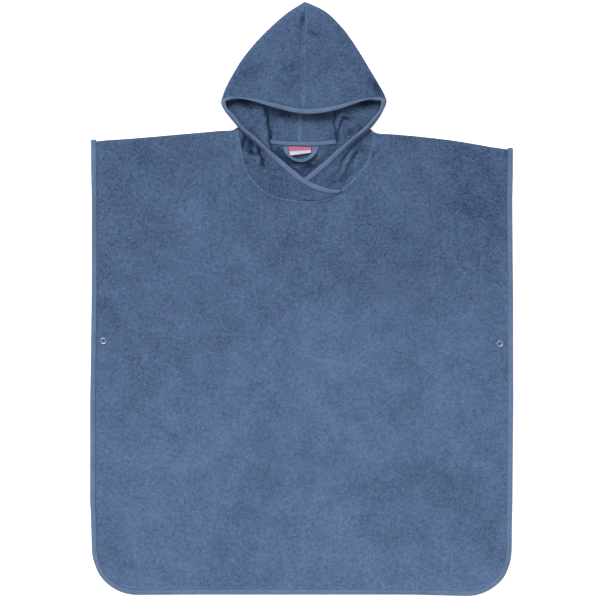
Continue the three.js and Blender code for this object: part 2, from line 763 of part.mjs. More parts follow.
// Blank label, a little askew, its lower edge held up by the loop
function addLabel() {
  const top = terryThick + tapeThick + 2 * seamGap;
  const rise = 3.7;
  const corners = [
    [[-20, 233.8, top], [16, 232.8, top]],
    [[-17.2, 219, top + rise], [15, 223.6, top + rise * 0.7]],
  ];
  const lower = corners.map((row) => row.map(vector));
  const upper = lower.map((row) => row.map((point) => point.clone().setZ(point.z + tapeThick)));
  addWall('neck_label', upper, lower, labelColour);
}
addLabel();

// Turned body from a closed profile of r, z pairs round a snap
function addTurned(name, snap, profile, segments) {
  const points = [];
  const triangles = [];
  const first = [];
  for (const [r, z] of profile) {
    first.push(points.length);
    const count = r === 0 ? 1 : segments;
    for (let k = 0; k < count; k += 1) {
      const angle = 2 * Math.PI * k / segments;
      points.push(new THREE.Vector3(snap.x + r * Math.cos(angle), snap.y + r * Math.sin(angle), z));
    }
  }
  const at = (n, k) => (profile[n][0] === 0 ? first[n] : first[n] + (k % segments));
  for (let n = 0; n < profile.length; n += 1) {
    const m = (n + 1) % profile.length;
    for (let k = 0; k < segments; k += 1) {
      const ring = [at(n, k), at(n, k + 1), at(m, k + 1), at(m, k)];
      if (ring[0] !== ring[1]) {
        triangles.push([ring[0], ring[1], ring[2]]);
      }
      if (ring[2] !== ring[3]) {
        triangles.push([ring[0], ring[2], ring[3]]);
      }
    }
  }
  addBody(name, points, triangles, metalColour, { roughness: 0.35, metalness: 0.9 });
}

// Fastened ring snap: ring, socket, stud and ring from the front to the back
function addSnap(snap) {
  const backTopLevel = backBoundMiddle + squeezedThick / 2;
  const frontUnder = frontBoundMiddle - squeezedThick / 2;
  const frontOver = frontBoundMiddle + squeezedThick / 2 + seamGap;
  const ringHeight = 1;
  const hole = 3.1;
  const bevel = 0.3;
  const ringProfile = (low) => [
    [hole, low], [snapRadius, low], [snapRadius, low + ringHeight - bevel],
    [snapRadius - bevel, low + ringHeight], [hole + bevel, low + ringHeight],
    [hole, low + ringHeight - bevel],
  ];
  const flange = backTopLevel + seamGap;
  const flangeTop = flange + 0.6;
  const socketLow = flangeTop + seamGap;
  const socketTop = frontUnder - seamGap;
  const postRadius = 1.6;
  addTurned(`ring_front_${snap.side}`, snap, ringProfile(frontOver), 16);
  addTurned(`socket_${snap.side}`, snap, [
    [postRadius + seamGap, socketLow], [4.2, socketLow], [4.2, socketTop],
    [postRadius + seamGap, socketTop],
  ], 12);
  addTurned(`stud_${snap.side}`, snap, [
    [0, flange], [4.2, flange], [4.2, flangeTop], [postRadius, flangeTop],
    [postRadius, socketTop], [0, socketTop],
  ], 12);
  addTurned(`ring_back_${snap.side}`, snap, [
    [hole, 0], [snapRadius, 0], [snapRadius, ringHeight], [hole, ringHeight],
  ], 14);
}
snaps.forEach(addSnap);

// The origin goes under the middle of the whole piece
const whole = new THREE.Box3().setFromObject(group);
const middle = whole.getCenter(new THREE.Vector3());
group.position.set(-middle.x, -middle.y, -whole.min.z);

export default group;
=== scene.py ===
# Hooded bath poncho laid flat on its back: terry cloth, ribbed tape, ring snaps, blank label.
# Garment sizes are in millimetres and become metres when a mesh is made.
# +Y points toward the hood, +Z up from the floor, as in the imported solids.
import math
import bpy
import numpy as np
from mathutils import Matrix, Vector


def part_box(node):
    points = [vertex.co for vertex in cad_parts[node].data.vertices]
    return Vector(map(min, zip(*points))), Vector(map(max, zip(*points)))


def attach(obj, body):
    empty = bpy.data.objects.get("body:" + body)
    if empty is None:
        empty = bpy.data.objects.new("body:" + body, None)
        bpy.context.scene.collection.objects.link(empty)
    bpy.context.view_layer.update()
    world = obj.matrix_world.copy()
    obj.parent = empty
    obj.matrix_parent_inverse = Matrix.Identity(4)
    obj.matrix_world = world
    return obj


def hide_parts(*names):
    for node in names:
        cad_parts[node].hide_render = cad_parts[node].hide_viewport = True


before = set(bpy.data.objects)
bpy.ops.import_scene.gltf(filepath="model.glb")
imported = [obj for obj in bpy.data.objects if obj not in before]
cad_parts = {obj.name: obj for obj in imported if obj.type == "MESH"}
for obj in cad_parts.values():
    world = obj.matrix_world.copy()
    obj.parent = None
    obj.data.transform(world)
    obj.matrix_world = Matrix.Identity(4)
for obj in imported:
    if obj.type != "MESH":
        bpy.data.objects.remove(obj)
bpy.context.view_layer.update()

# Cloth and tape
TERRY_THICK = 2.4
SQUEEZED_THICK = 1.0
TAPE_THICK = 1.0
SEAM_GAP = 0.3
SEAM_SQUEEZE = 0.8
FOLD_THICK = 1.3
BINDING_WIDTH = 8.0
PILE_RISE = 0.16

# Levels of the stacked layers
BACK_MIDDLE = TERRY_THICK / 2
BINDING_HALF = SQUEEZED_THICK / 2 + SEAM_GAP + TAPE_THICK
FRONT_MIDDLE = TERRY_THICK + SEAM_GAP + TERRY_THICK / 2
FRONT_BOUND_MIDDLE = 3 * BINDING_HALF + SEAM_GAP

# Body outline, measured over the bindings
HALF_WIDTH = 324.8
HEM_LINE = -456.4
CORNER_RADIUS = 74.0
TAPE_OVERHANG = SEAM_GAP + TAPE_THICK
BOUND_BAND = BINDING_WIDTH + 0.5
CUT_HALF = HALF_WIDTH - TAPE_OVERHANG
CUT_HEM = HEM_LINE + TAPE_OVERHANG
CUT_RADIUS = CORNER_RADIUS - TAPE_OVERHANG

# Snaps at the sides, open rings on the front
SNAP_RADIUS = 5.0
SNAP_FLAT = 12.0
SNAP_FADE = 24.0
SNAPS = {"left": (-304.9, -66.2), "right": (305.8, -70.4)}

# Share of the label that is red, from its top
LABEL_RED_SHARE = 0.56

# How much darker the painted shade makes the cloth, and the limits of what the tables may paint
PAINTED_SHADE_DEPTH = 0.62
PAINTED_SHADE_RANGE = (-0.6, 1.3)

# Red, green and blue of the greener patches, as shares of the light colour
TEAL_SHARES = (0.93, 1.015, 0.96)

# Both sides of the neck, where the body panels have finer columns
NECK_SIDE_SPAN = (78.0, 118.0)

# How far each side lies outside its straight line: y, left, right
SIDE_ROWS = [
    (-456, 0.0, 0.0), (-427, -0.7, 0.1), (-412, -1.8, -1.5), (-388, -1.6, -2.1),
    (-340, 0.8, -0.7), (-311, 2.4, 0.2), (-157, 2.8, 2.1), (0, 0.2, 1.4),
    (151, -1.3, -1.2), (240, -0.6, -0.6),
]

# Upper line of each panel as x, y rows: shoulder, short rise to the hood, neckline
LEFT_SHOULDER = [
    (-323.5, 240.4), (-305.0, 243.0), (-260.0, 246.1), (-222.8, 249.2), (-188.2, 252.3),
    (-152.8, 255.4), (-125.0, 257.8), (-108.5, 258.4), (-103.0, 260.0), (-99.4, 263.0),
]
RIGHT_SHOULDER = [
    (111.0, 256.4), (116.0, 254.2), (122.0, 253.4), (145.2, 252.3), (179.0, 249.2),
    (206.8, 246.1), (231.9, 243.0), (251.5, 239.9), (271.0, 236.6), (290.1, 233.0),
    (315.9, 229.4), (323.5, 227.6),
]
FRONT_NECKLINE = [
    (-97.3, 252.0), (-96.4, 242.0), (-93.6, 231.0), (-90.2, 212.0), (-81.2, 189.0),
    (-66.4, 171.8), (-47.0, 158.2), (-18.0, 151.2), (6.0, 149.4), (30.0, 151.0),
    (51.0, 158.2), (76.8, 177.4), (93.6, 196.0), (103.8, 212.0), (107.8, 229.0),
    (109.4, 244.0), (110.0, 252.0),
]
BACK_NECKLINE = [
    (-96.4, 264.4), (-88.0, 256.4), (-76.0, 250.0), (-62.0, 246.0), (-53.0, 243.4),
    (-48.0, 239.6), (-31.0, 237.2), (0.0, 236.2), (30.0, 236.8), (52.5, 239.6),
    (57.5, 243.2), (66.0, 245.6), (86.0, 250.4), (98.0, 256.4), (104.0, 261.0), (107.2, 260.2),
]
FRONT_TOP = LEFT_SHOULDER + FRONT_NECKLINE + RIGHT_SHOULDER
BACK_TOP = LEFT_SHOULDER + BACK_NECKLINE + RIGHT_SHOULDER

# Hood rows from the crown seam to the collar end. Each goes from the neck seam in to the
# inner fold, out over the back layer to the outline and back to the face opening:
# base, inner fold, back, outline, front, edge
SEAM_ROW = [
    (-3.4, 238.6, 1.2), (-1.5, 290, 1.2), (0.3, 343, 1.2),
    (5.6, 455.2, 6.8), (3.5, 370, 15.2), (1.4, 283.4, 17),
]
LEFT_ROWS = [
    [(-17.4, 239, 1.2), (-17.5, 285, 1.2), (-16, 328, 1.2),
     (-22.2, 437, 6.8), (-17.4, 366, 15.8), (-16.6, 286.2, 19)],
    [(-31.3, 239.8, 1.2), (-34.5, 280, 1.2), (-37, 317, 1.2),
     (-57.8, 405, 6.8), (-45, 348, 16.5), (-35.9, 291, 21)],
    [(-45.9, 241.2, 1.2), (-49, 266, 1.2), (-55, 305, 1.3),
     (-89, 369, 6.8), (-70, 333, 16.5), (-54.4, 296, 20.5)],
    [(-47.8, 241.8, 1.4), (-51.5, 256, 6.5), (-62, 297, 7.5),
     (-106, 342, 6.8), (-90, 320, 15.5), (-72, 301.4, 18.5)],
    [(-58.5, 244.6, 4.1), (-49.4, 241, 6.7), (-70, 267, 7.8),
     (-116.6, 322, 6), (-106.7, 313, 12.2), (-90.6, 305.4, 15.5)],
    [(-75, 248.4, 4.1), (-48.9, 237.4, 6.7), (-76, 262, 7.5),
     (-122, 307, 4.5), (-116.4, 308.2, 8.6), (-107.8, 305.8, 13.2)],
    [(-87.5, 257, 4.1), (-48.3, 234.2, 6.8), (-78, 259, 7.3),
     (-123, 299.5, 4.5), (-122.2, 301.2, 9), (-117, 302.2, 14.8)],
    [(-96.6, 261.2, 4.1), (-47.6, 231.2, 6.9), (-78.5, 255, 7.8),
     (-118.7, 290, 4.5), (-117.8, 290.6, 9), (-115.6, 292.0, 15.4)],
    [(-95.6, 246, 4.1), (-47, 228.4, 7), (-73, 249, 8.6),
     (-108.5, 277, 6.3), (-107.4, 277.8, 10.4), (-104.6, 279.6, 16.8)],
    [(-92.6, 231, 4.1), (-46, 224.8, 6.9), (-64, 239, 9.2),
     (-93.2, 259.0, 8.3), (-92.4, 259.9, 11.6), (-90.8, 261.6, 17.6)],
    [(-89, 212, 4.1), (-43.8, 220.4, 6.6), (-54, 226.6, 8.6),
     (-72.8, 240.0, 9.8), (-71.8, 241.2, 12.6), (-69.3, 243.8, 16.9)],
    [(-80, 189, 4.1), (-49.5, 208.5, 5.9), (-52, 211, 8.4),
     (-52.6, 218.4, 10.6), (-51.2, 220.2, 13), (-47.7, 224.2, 16)],
    [(-65.5, 171.5, 4.7), (-50, 189, 7.4), (-47.5, 192, 8.9),
     (-44.5, 196, 10.4), (-39.5, 202, 11.9), (-31.3, 211.3, 14.2)],
    [(-46.5, 158, 5.5), (-34, 172, 9.6), (-30, 177, 10.1),
     (-26.5, 181, 10.7), (-21.5, 187, 11.8), (-13.6, 196.3, 13.4)],
    [(-17.4, 150.6, 5.6), (-9, 161.5, 9.4), (-6.3, 165, 9.9),
     (-3.8, 168.5, 10.4), (-0.7, 173, 11.2), (5.7, 181.7, 12.6)],
    [(8.8, 148.2, 5.6), (13, 154.5, 8.4), (14.6, 157, 8.8),
     (16.3, 159.8, 9.2), (18.5, 163.3, 9.8), (24.2, 172.5, 10.8)],
    [(28.8, 149.6, 5.6), (32.5, 153.4, 7.5), (33.8, 155, 7.7),
     (35.2, 156.6, 7.9), (37, 158.7, 8.1), (44.2, 166.9, 8.8)],
    [(45.8, 154.4, 5.9), (48.5, 156.3, 7.3), (49.8, 157.2, 7.3),
     (51.1, 158.1, 7.4), (52.8, 159.2, 7.4), (61.9, 165.4, 7.5)],
]
RIGHT_ROWS = [
    [(11, 239, 1.2), (15, 285, 1.2), (18, 328, 1.2),
     (36.8, 440, 6.8), (19.6, 366, 15.8), (20.3, 283.2, 18.8)],
    [(32, 239.8, 1.2), (36, 280, 1.2), (38, 317, 1.2),
     (65, 412, 6.8), (50.4, 351, 16.5), (39.6, 285.7, 20.5)],
    [(51.5, 241.4, 1.2), (49.3, 266, 1.2), (52, 305, 1.3),
     (87.6, 380, 6.8), (75, 336, 16.5), (61.1, 291, 20.2)],
    [(55.2, 242.2, 1.4), (53.5, 256, 6.5), (62, 297, 7.5),
     (106, 350, 6.8), (93.5, 323, 15.5), (79.6, 297.4, 18.2)],
    [(65, 244.8, 4.1), (54, 240.4, 6.7), (74, 267, 7.8),
     (119, 328.6, 6), (112, 314, 12.2), (97.3, 303, 15.5)],
    [(81, 247.4, 4.1), (54.2, 236.6, 6.8), (80, 262, 7.5),
     (128, 312.6, 4.5), (121.5, 309, 8.6), (112.7, 305, 12.8)],
    [(98.5, 254.4, 4.1), (54.3, 233, 6.9), (82, 258, 7.3),
     (130.7, 302.6, 4.5), (128.6, 303, 9), (123.5, 303.7, 14.8)],
    [(107.6, 258.0, 4.1), (54.6, 230.2, 7), (84, 256, 7.8),
     (125.8, 289.2, 4.5), (124.6, 289.3, 9), (122.2, 289.4, 15.6)],
    [(110.6, 244, 4.1), (54.6, 227.4, 7.1), (79, 246, 8.6),
     (117.5, 275, 6.3), (116.2, 275.4, 10.4), (112.4, 276.3, 16.8)],
    [(107, 229, 4.1), (54.2, 223.8, 6.9), (72, 236, 9.2),
     (101, 255.6, 8.3), (100, 256.8, 11.6), (97.3, 259.8, 17.3)],
    [(102.8, 212.5, 4.1), (52.6, 219.6, 6.6), (62, 226.5, 8.6),
     (82, 238.8, 9.6), (80.9, 240.2, 12.4), (77.8, 243.9, 17.1)],
    [(92.5, 196.6, 4.1), (59, 210, 5.9), (61.4, 212.8, 8.4),
     (64, 217, 10.4), (61, 220.4, 13), (55.7, 226, 16)],
    [(76, 177.6, 4.1), (59.5, 195.5, 5.8), (57, 198.2, 7.4),
     (54, 201.6, 8.9), (49.5, 206, 10.4), (41.9, 213.6, 13)],
    [(55.3, 161.4, 4.1), (42, 178.5, 5.6), (39, 182.5, 6.2),
     (36, 186.5, 6.9), (32, 191.7, 8), (25.7, 200.5, 10)],
    [(30, 150.6, 4), (20.5, 165, 4.9), (18.3, 168.4, 5.3),
     (16, 172, 5.8), (12.7, 177, 6.6), (7.2, 185.4, 8)],
    [(2.6, 149.2, 4), (-1.5, 156.5, 4.2), (-3, 159.3, 4.4),
     (-4.5, 162.2, 4.7), (-6.3, 165.9, 5), (-11.2, 175.6, 6)],
    [(-19, 151.6, 4), (-21.5, 155, 4.1), (-22.6, 156.8, 4.2),
     (-23.7, 158.5, 4.3), (-25, 160.6, 4.4), (-30.5, 169.4, 5)],
    [(-39, 156.5, 4), (-40, 157.5, 4), (-40.9, 158.4, 4.1),
     (-41.8, 159.3, 4.1), (-42.6, 160.2, 4.2), (-48.2, 166, 4.6)],
]
# Half height of the inner fold and of the outline fold, a pair for each row
FOLD_HEIGHTS = [
    (0, 4), (0, 4), (0, 4), (0, 4), (1.2, 4), (2.5, 3.4), (2.5, 2.6), (2.5, 2.6), (2.5, 2.4),
    (2.5, 2.2), (2.4, 1.9), (2, 1.6), (1.5, 1.2), (0.8, 0.2), (0.2, 0.2), (0.1, 0.1), (0.1, 0.1),
    (0.1, 0.1), (0, 0),
]
FOLD_INSET = 2.6
GRIP_LENGTH = 8.5
GRIP_SHARE = 0.79
SPAN_STEPS = (40, 5, 5, 16, 22, 6, 6, 26, 16)
ROW_STEPS = 12

# How far the gathers at the neck and the lip of the inner fold stand up
GATHER_RISE = 1.8
LIP_RISE = 2.6

# Painted highlight along the crown seam: shares on the outer and the inner layer, width in rows
SEAM_LIGHT = (0.28, 0.60)
SEAM_LIGHT_WIDTH = 0.22
# Painted shade over the inside layer and the collar of the hood
INSIDE_SHADE = 0.08

# Broad soft swells of the front cloth: x, y, half width, half length, height
SWELLS = [
    (-170, 60, 120, 190, 0.9), (150, 20, 110, 230, 1.0),
    (-60, -250, 160, 110, 0.8), (190, -300, 90, 100, 0.7),
]

# Soft creases: x0, y0, x1, y1, half width, height. Troughs have a height below zero.
FRONT_CREASES = [
    (-108, 244, -122, 196, 5, -0.9), (-116, 248, -140, 190, 7, 0.5),
    (120, 232, 134, 206, 6, -0.9), (128, 240, 158, 196, 8, 0.5),
    (-96, 188, -128, 140, 9, -0.5), (104, 184, 136, 132, 9, -0.5),
    (-200, 226, -150, 40, 26, -0.5), (210, 214, 168, 10, 30, 0.6),
    (-286, 120, -262, -160, 22, 0.5), (268, 60, 288, -210, 20, -0.5),
    (-40, 110, -64, -60, 30, -0.35), (60, 100, 88, -90, 34, 0.4),
    (-250, -260, -60, -330, 26, 0.45), (40, -300, 250, -250, 28, -0.4),
    (-120, -90, 120, -120, 30, 0.4), (-30, -400, 210, -380, 16, 0.4),
]
BACK_CREASES = [
    (-210, 180, -160, 20, 28, 0.25), (190, 160, 150, -60, 30, 0.3),
    (-120, -160, 140, -200, 30, 0.25), (-220, -330, 60, -380, 24, 0.2),
]
CROWN_CREASES = [
    (2.6, 441, 6.4, 414, 3.2, -2.4), (8, 408, 25, 403, 3.0, -1.8),
    (1.5, 386, 1.5, 362, 2.2, 1.0), (112, 326, 129, 313, 5, -1.8),
    (-104, 322, -116, 310, 4, -0.8), (-30, 330, -58, 372, 16, 0.7),
    (36, 330, 70, 366, 18, -0.6), (-70, 350, -88, 330, 10, -0.7),
    (20, 440, 56, 404, 10, 0.6), (-14, 424, -40, 396, 9, -0.6),
    (-20, 300, -22, 340, 12, 0.6), (30, 296, 26, 340, 12, 0.5),
]
INSIDE_CREASES = [
    (-61, 295, -56, 276, 3.0, -2.2), (-57, 290, -53, 262, 3.0, 2.2),
    (57.0, 256, 61, 274, 2.2, -2.4), (62, 277, 73, 276, 2.0, -2.6),
    (62, 262, 64, 274, 3.0, 2.6), (64, 282, 76, 281, 3.0, 2.0),
    (63, 266, 78, 292, 3.4, -1.6), (52, 284, 50, 262, 3.0, -1.2),
    (-70, 262, -60, 292, 3.4, 1.5), (-80, 300, -72, 276, 4.0, -1.6),
    (-30, 268, -8, 292, 6, 1.0), (34, 262, 14, 290, 6, 0.9), (-36, 250, -26, 276, 4, 0.8),
    (86, 290, 100, 306, 5, -1.6), (-92, 292, -104, 308, 5, -1.4),
]
BUNCH_CREASES = [
    (-91, 250, -92, 232, 2.6, 2.6), (-86.7, 252, -85, 246, 2.6, -3.2),
    (-84, 246, -82, 230, 2.2, 4.6), (-90, 241, -91.5, 233, 1.8, -2.4),
    (-79, 241, -75, 236, 2.4, -3.0), (-72, 238, -66, 222, 2.0, 4.4),
    (-78, 230, -84, 220, 2.4, 3.2), (-80, 225, -73, 223, 2.0, -3.4),
    (-69, 234, -61, 217, 1.8, -3.0), (-67, 217, -64, 206, 2.2, 3.8),
    (-60.6, 217, -58, 204, 2.2, -3.6), (-90, 208, -77, 208, 4.0, -1.4),
    (-86, 216, -80, 198, 3.4, 2.0), (-74, 200, -66, 190, 3.0, 1.6),
    (76, 228, 72, 210, 3.4, 3.4), (69, 208, 56, 178, 3.6, 3.4),
    (83.5, 224, 81, 215, 2.4, -3.6), (78, 214, 71, 200, 2.2, -2.6),
    (74, 200, 64, 180, 4.0, -2.2), (92, 238, 96, 224, 6.0, -1.6),
    (106, 242, 100, 216, 3.6, 2.2), (90, 214, 82, 196, 4.0, 1.8), (96, 204, 86, 190, 3.0, -1.2),
]
COLLAR_CREASES = [
    (-56, 186, -34, 202, 3.4, -1.4), (-36, 166, -14, 184, 3.6, 1.0),
    (-2, 158, 12, 172, 3.4, -0.8), (50, 176, 34, 192, 3.4, 1.2),
    (74, 196, 52, 170, 4.0, -1.8), (-74, 186, -60, 200, 3.2, 1.4),
]

# Painted shade, darker where shade falls in troughs, pits, corners and under the hood's edges, and in
# broad patches on the front; a share below zero paints light on a ridge: x0, y0, x1, y1, half width,
# share
HOOD_PAINTED_SHADE = [
    (-88, 248, -76, 224, 9.0, 0.9), (-88, 249, -86, 242, 3.0, 1.3),
    (-80, 240, -74, 236, 3.2, 1.3), (-90, 241, -91.5, 232, 2.6, 1.0),
    (-81, 225, -72, 222, 2.8, 1.3), (-69, 234, -61, 216, 2.4, 1.4),
    (-61, 217, -58, 203, 3.0, 1.5), (-90, 208, -78, 208, 5.0, 0.4),
    (-84, 246, -82, 230, 1.8, -0.5), (-66, 218, -64, 207, 2.0, -0.5),
    (84.5, 227, 81.5, 215, 2.8, 1.0), (92, 238, 95, 222, 10.0, 0.45),
    (79, 216, 70, 198, 2.8, 0.7), (77, 204, 62, 174, 6.0, 0.55), (56, 190, 44, 170, 8.0, 0.3),
    (74, 224, 66, 200, 3.0, -0.3), (64, 196, 54, 176, 3.0, -0.35),
    (57.4, 252, 60.6, 272, 1.6, 1.1), (60.6, 270, 64.4, 277, 1.7, 1.2), (63, 277, 74, 275.6, 2.0, 1.3),
    (50.4, 288, 53, 262, 2.0, 0.9), (53, 262, 54.6, 248, 2.0, 0.9), (55, 250, 53.8, 234, 2.2, 1.0),
    (-54, 286, -50, 262, 2.4, 0.9), (-49.4, 262, -47, 232, 2.8, 0.9),
    (-58, 292, -54, 278, 2.0, 0.7), (-108, 304, -70, 300, 9.0, 0.9), (74, 302, 116, 304, 9.0, 1.0),
    (-40, 286, -12, 280, 10.0, 0.4), (16, 282, 44, 286, 10.0, 0.4),
    (62, 244, 96, 270, 6.0, 0.5), (-84, 262, -58, 240, 5.0, 0.5),
]
CROWN_PAINTED_SHADE = [
    (2.5, 442, 0.5, 408, 5.0, 0.6), (9, 408, 26, 402, 3.6, 0.6), (-3, 400, -12, 330, 13, 0.25),
    (108, 332, 125, 313, 8.0, 0.7), (-60, 362, -100, 332, 11, 0.2), (6.5, 440, 6, 416, 2.2, -0.3),
    (2, 386, 1.5, 360, 1.8, -0.3),
]
FRONT_PAINTED_SHADE = [
    (170, -250, 290, -330, 60, 0.16), (240, 190, 270, 60, 50, 0.10), (-270, 200, -240, 80, 40, 0.08),
    (119, 236, 108, 214, 4.0, 0.4), (-104, 240, -100, 212, 4.0, 0.3), (96, 188, 70, 162, 4.0, 0.25),
    (-84, 176, -60, 158, 4.0, 0.2), (-102, 256, -98, 206, 4.0, -0.35), (114, 248, 108, 222, 3.4, -0.3),
    (107, 220, 99, 200, 3.0, -0.25),
]
INSIDE_PAINTED_SHADE = [
    (-48, 232, -6, 190, 11.0, 0.8), (52, 234, 14, 192, 9.0, 0.6), (-4, 196, 10, 190, 14.0, 0.5),
    (-26, 207, 24, 205, 2.6, 0.6), (-46, 236, 50, 236, 2.0, 0.5), (-18, 200, 18, 198, 2.6, -0.5),
]

# Neck seam on the front cloth, outside which the seam allowance shows as a soft ridge
RIDGE_LINE = [
    (-99, 262), (-101, 240), (-97, 214), (-90, 194), (-80, 178), (-66, 163),
    (-48, 153), (-20, 145.5), (12, 143.5), (40, 147), (66, 159), (84, 173),
    (98, 190), (108, 207), (114, 226), (118, 248),
]

# From these tables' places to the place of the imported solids
cad_low, cad_high = (np.array(corner) * 1000 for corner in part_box("edge_binding"))
SHIFT = np.array([(cad_low[0] + cad_high[0]) / 2, cad_low[1] - HEM_LINE, 0.0])


def smooth(t):
    t = np.clip(t, 0.0, 1.0)
    return t * t * (3.0 - 2.0 * t)


def mix(a, b, t):
    return a + (b - a) * t


def unit(vectors):
    return vectors / np.maximum(np.linalg.norm(vectors, axis=-1, keepdims=True), 1e-9)


def line_at(rows, x):
    return np.interp(x, [row[0] for row in rows], [row[1] for row in rows])


def bump_field(x, y, size, seed):
    """Even random swells between about -1 and 1, as wide as size."""
    source = np.random.default_rng(seed)
    total = np.zeros_like(x)
    for wave in range(7):
        angle = source.uniform(0, math.tau)
        turn = math.tau / (size * source.uniform(1.2, 2.6))
        phase = source.uniform(0, math.tau)
        total += np.sin((x * math.cos(angle) + y * math.sin(angle)) * turn + phase)
    return total / 3.0


def beside_line(x, y, line, sway=0.0):
    """Share of the way along a line that sways a little, and distance from it."""
    x0, y0, x1, y1 = line
    dx, dy = x1 - x0, y1 - y0
    along = np.clip(((x - x0) * dx + (y - y0) * dy) / (dx * dx + dy * dy), 0, 1)
    swing = sway * np.sin(along * math.tau)
    return along, np.hypot(x - x0 - along * dx + swing * dy, y - y0 - along * dy - swing * dx)


def creased(x, y, creases):
    """Sum of the creases at each place, each fading toward its two ends."""
    lift = np.zeros_like(x)
    for *line, width, height in creases:
        along, off = beside_line(x, y, line, 0.05)
        fade = 0.35 + 0.65 * np.sin(math.pi * along)
        lift += height * fade * np.exp(-((off / width) ** 2))
    return lift


def bowed(points):
    """The outline as it lies: waisted, uneven sides, the lower corners drawn out a little."""
    x, y = points[..., 0].copy(), points[..., 1].copy()
    waist_in, waist_y, waist_reach = 2.2, -140, 330
    right_out, hem_out = 2.0, 0.5
    left_corner_out, left_corner_down = 1.4, 0.5
    right_corner_out, right_corner_down = 0.8, 2.4
    bow = waist_in * np.maximum(0, 1 - ((y - waist_y) / waist_reach) ** 2)
    levels, left, right = np.array(SIDE_ROWS).T
    low = smooth((-330 - y) / 110)
    low_left = low * smooth((-x - 150) / 130)
    low_right = low * smooth((x - 150) / 130)
    across = x * (1 - bow / HALF_WIDTH) + right_out * smooth(x / CUT_HALF)
    across -= np.interp(y, levels, left) * smooth((-x - 60) / 260)
    across += np.interp(y, levels, right) * smooth((x - 60) / 260)
    across += right_corner_out * low_right - left_corner_out * low_left
    down = hem_out * smooth((-300 - y) / 150)
    down += right_corner_down * low_right + left_corner_down * low_left
    points[..., 0] = across
    points[..., 1] = y - down
    return points


def spline(points, at):
    """Centripetal curve through points along the first axis, read at places 0 to count - 1."""
    points = np.asarray(points, float)
    padded = np.concatenate([
        (2 * points[0] - points[1])[None], points, (2 * points[-1] - points[-2])[None]])
    cell = np.clip(np.floor(at).astype(int), 0, len(points) - 2)
    t = (at - cell).reshape((-1,) + (1,) * (points.ndim - 1))
    p0, p1, p2, p3 = (padded[cell + k] for k in range(4))

    def step(a, b):
        return np.sum((b - a) ** 2, axis=-1, keepdims=True) ** 0.25

    d0, d1, d2 = step(p0, p1), step(p1, p2), step(p2, p3)
    d1 = np.where(d1 < 1e-4, 1.0, d1)
    d0 = np.where(d0 < 1e-4, d1, d0)
    d2 = np.where(d2 < 1e-4, d1, d2)
    m1 = ((p1 - p0) / d0 - (p2 - p0) / (d0 + d1) + (p2 - p1) / d1) * d1
    m2 = ((p2 - p1) / d1 - (p3 - p1) / (d1 + d2) + (p3 - p2) / d2) * d1
    a = 2 * p1 - 2 * p2 + m1 + m2
    b = 3 * p2 - 3 * p1 - 2 * m1 - m2
    return ((a * t + b) * t + m1) * t + p1


# Meshes


def grid_quads(rows, columns, start=0, flip=False):
    index = start + np.arange(rows * columns).reshape(rows, columns)
    corners = [index[:-1, :-1], index[1:, :-1], index[1:, 1:], index[:-1, 1:]]
    quads = np.stack(corners, axis=-1).reshape(-1, 4)
    return quads[:, ::-1] if flip else quads


def signed_volume(points, faces):
    total = 0.0
    for b, c in ((1, 2), (2, 3)):
        if faces.shape[1] > c:
            cross = np.cross(points[faces[:, b]], points[faces[:, c]])
            total += np.sum(points[faces[:, 0]] * cross)
    return total


def add_piece(name, points, faces, material, replaces=(), uv=None, painted_shade=None):
    """A closed mesh piece from points in millimetres, turned to face outward."""
    faces = np.asarray(faces)
    if signed_volume(points, faces) < 0:
        faces = faces[:, ::-1]
    mesh = bpy.data.meshes.new(name)
    mesh.from_pydata(((points + SHIFT) / 1000).tolist(), [], faces.tolist())
    mesh.shade_smooth()
    if uv is not None:
        layer = mesh.uv_layers.new(name="along_across")
        layer.data.foreach_set("uv", uv[faces.ravel()].ravel())
    # Painted shade and light for the terry, kept as a vertex attribute
    if painted_shade is not None:
        layer = mesh.attributes.new("painted_shade", "FLOAT", "POINT")
        layer.data.foreach_set("value", np.clip(painted_shade, *PAINTED_SHADE_RANGE))
    piece = bpy.data.objects.new(name, mesh)
    bpy.context.scene.collection.objects.link(piece)
    mesh.materials.append(MATERIALS[material])
    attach(piece, "root")
    if replaces:
        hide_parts(*replaces)
    return piece


def shell(name, upper, lower, material, replaces=(), painted_shade=None):
    """A wall of cloth between two grids of points."""
    rows, columns = upper.shape[:2]
    under = rows * columns
    index = np.arange(under).reshape(rows, columns)
    border = np.concatenate([
        index[0, :-1], index[:-1, -1], index[-1, :0:-1], index[:0:-1, 0]])
    beyond = np.roll(border, -1)
    rim = np.stack([border, beyond, under + beyond, under + border], axis=-1)
    faces = np.concatenate([
        grid_quads(rows, columns), grid_quads(rows, columns, under, flip=True), rim])
    points = np.concatenate([upper.reshape(-1, 3), lower.reshape(-1, 3)])
    if painted_shade is not None:
        painted_shade = np.tile(painted_shade.ravel(), 2)
    return add_piece(name, points, faces, material, replaces, painted_shade=painted_shade)


def sweep(name, rings, closed, material, replaces=()):
    """A tube through rings of section points; open ends are filled."""
    count, around = rings.shape[:2]
    index = np.arange(count * around).reshape(count, around)
    following = np.roll(index, -1, axis=0) if closed else index[1:]
    here = index if closed else index[:-1]
    faces = np.stack([
        here, np.roll(here, -1, axis=1), np.roll(following, -1, axis=1), following,
    ], axis=-1).reshape(-1, 4)
    if not closed:
        half = around // 2
        for ring, turned in ((index[0], False), (index[-1], True)):
            cap = [[ring[k], ring[around - 1 - k], ring[around - 2 - k], ring[k + 1]]
                   for k in range(half - 1)]
            faces = np.concatenate([faces, np.array(cap)[:, ::-1 if turned else 1]])
    middles = rings.mean(axis=1)
    steps = np.linalg.norm(np.diff(middles, axis=0), axis=1)
    length = np.concatenate([[0], np.cumsum(steps)])
    uv = np.stack(np.broadcast_arrays(
        length[:, None], np.linspace(0, 1, around)[None]), axis=-1).reshape(-1, 2)
    return add_piece(name, rings.reshape(-1, 3), faces, material, replaces, uv)


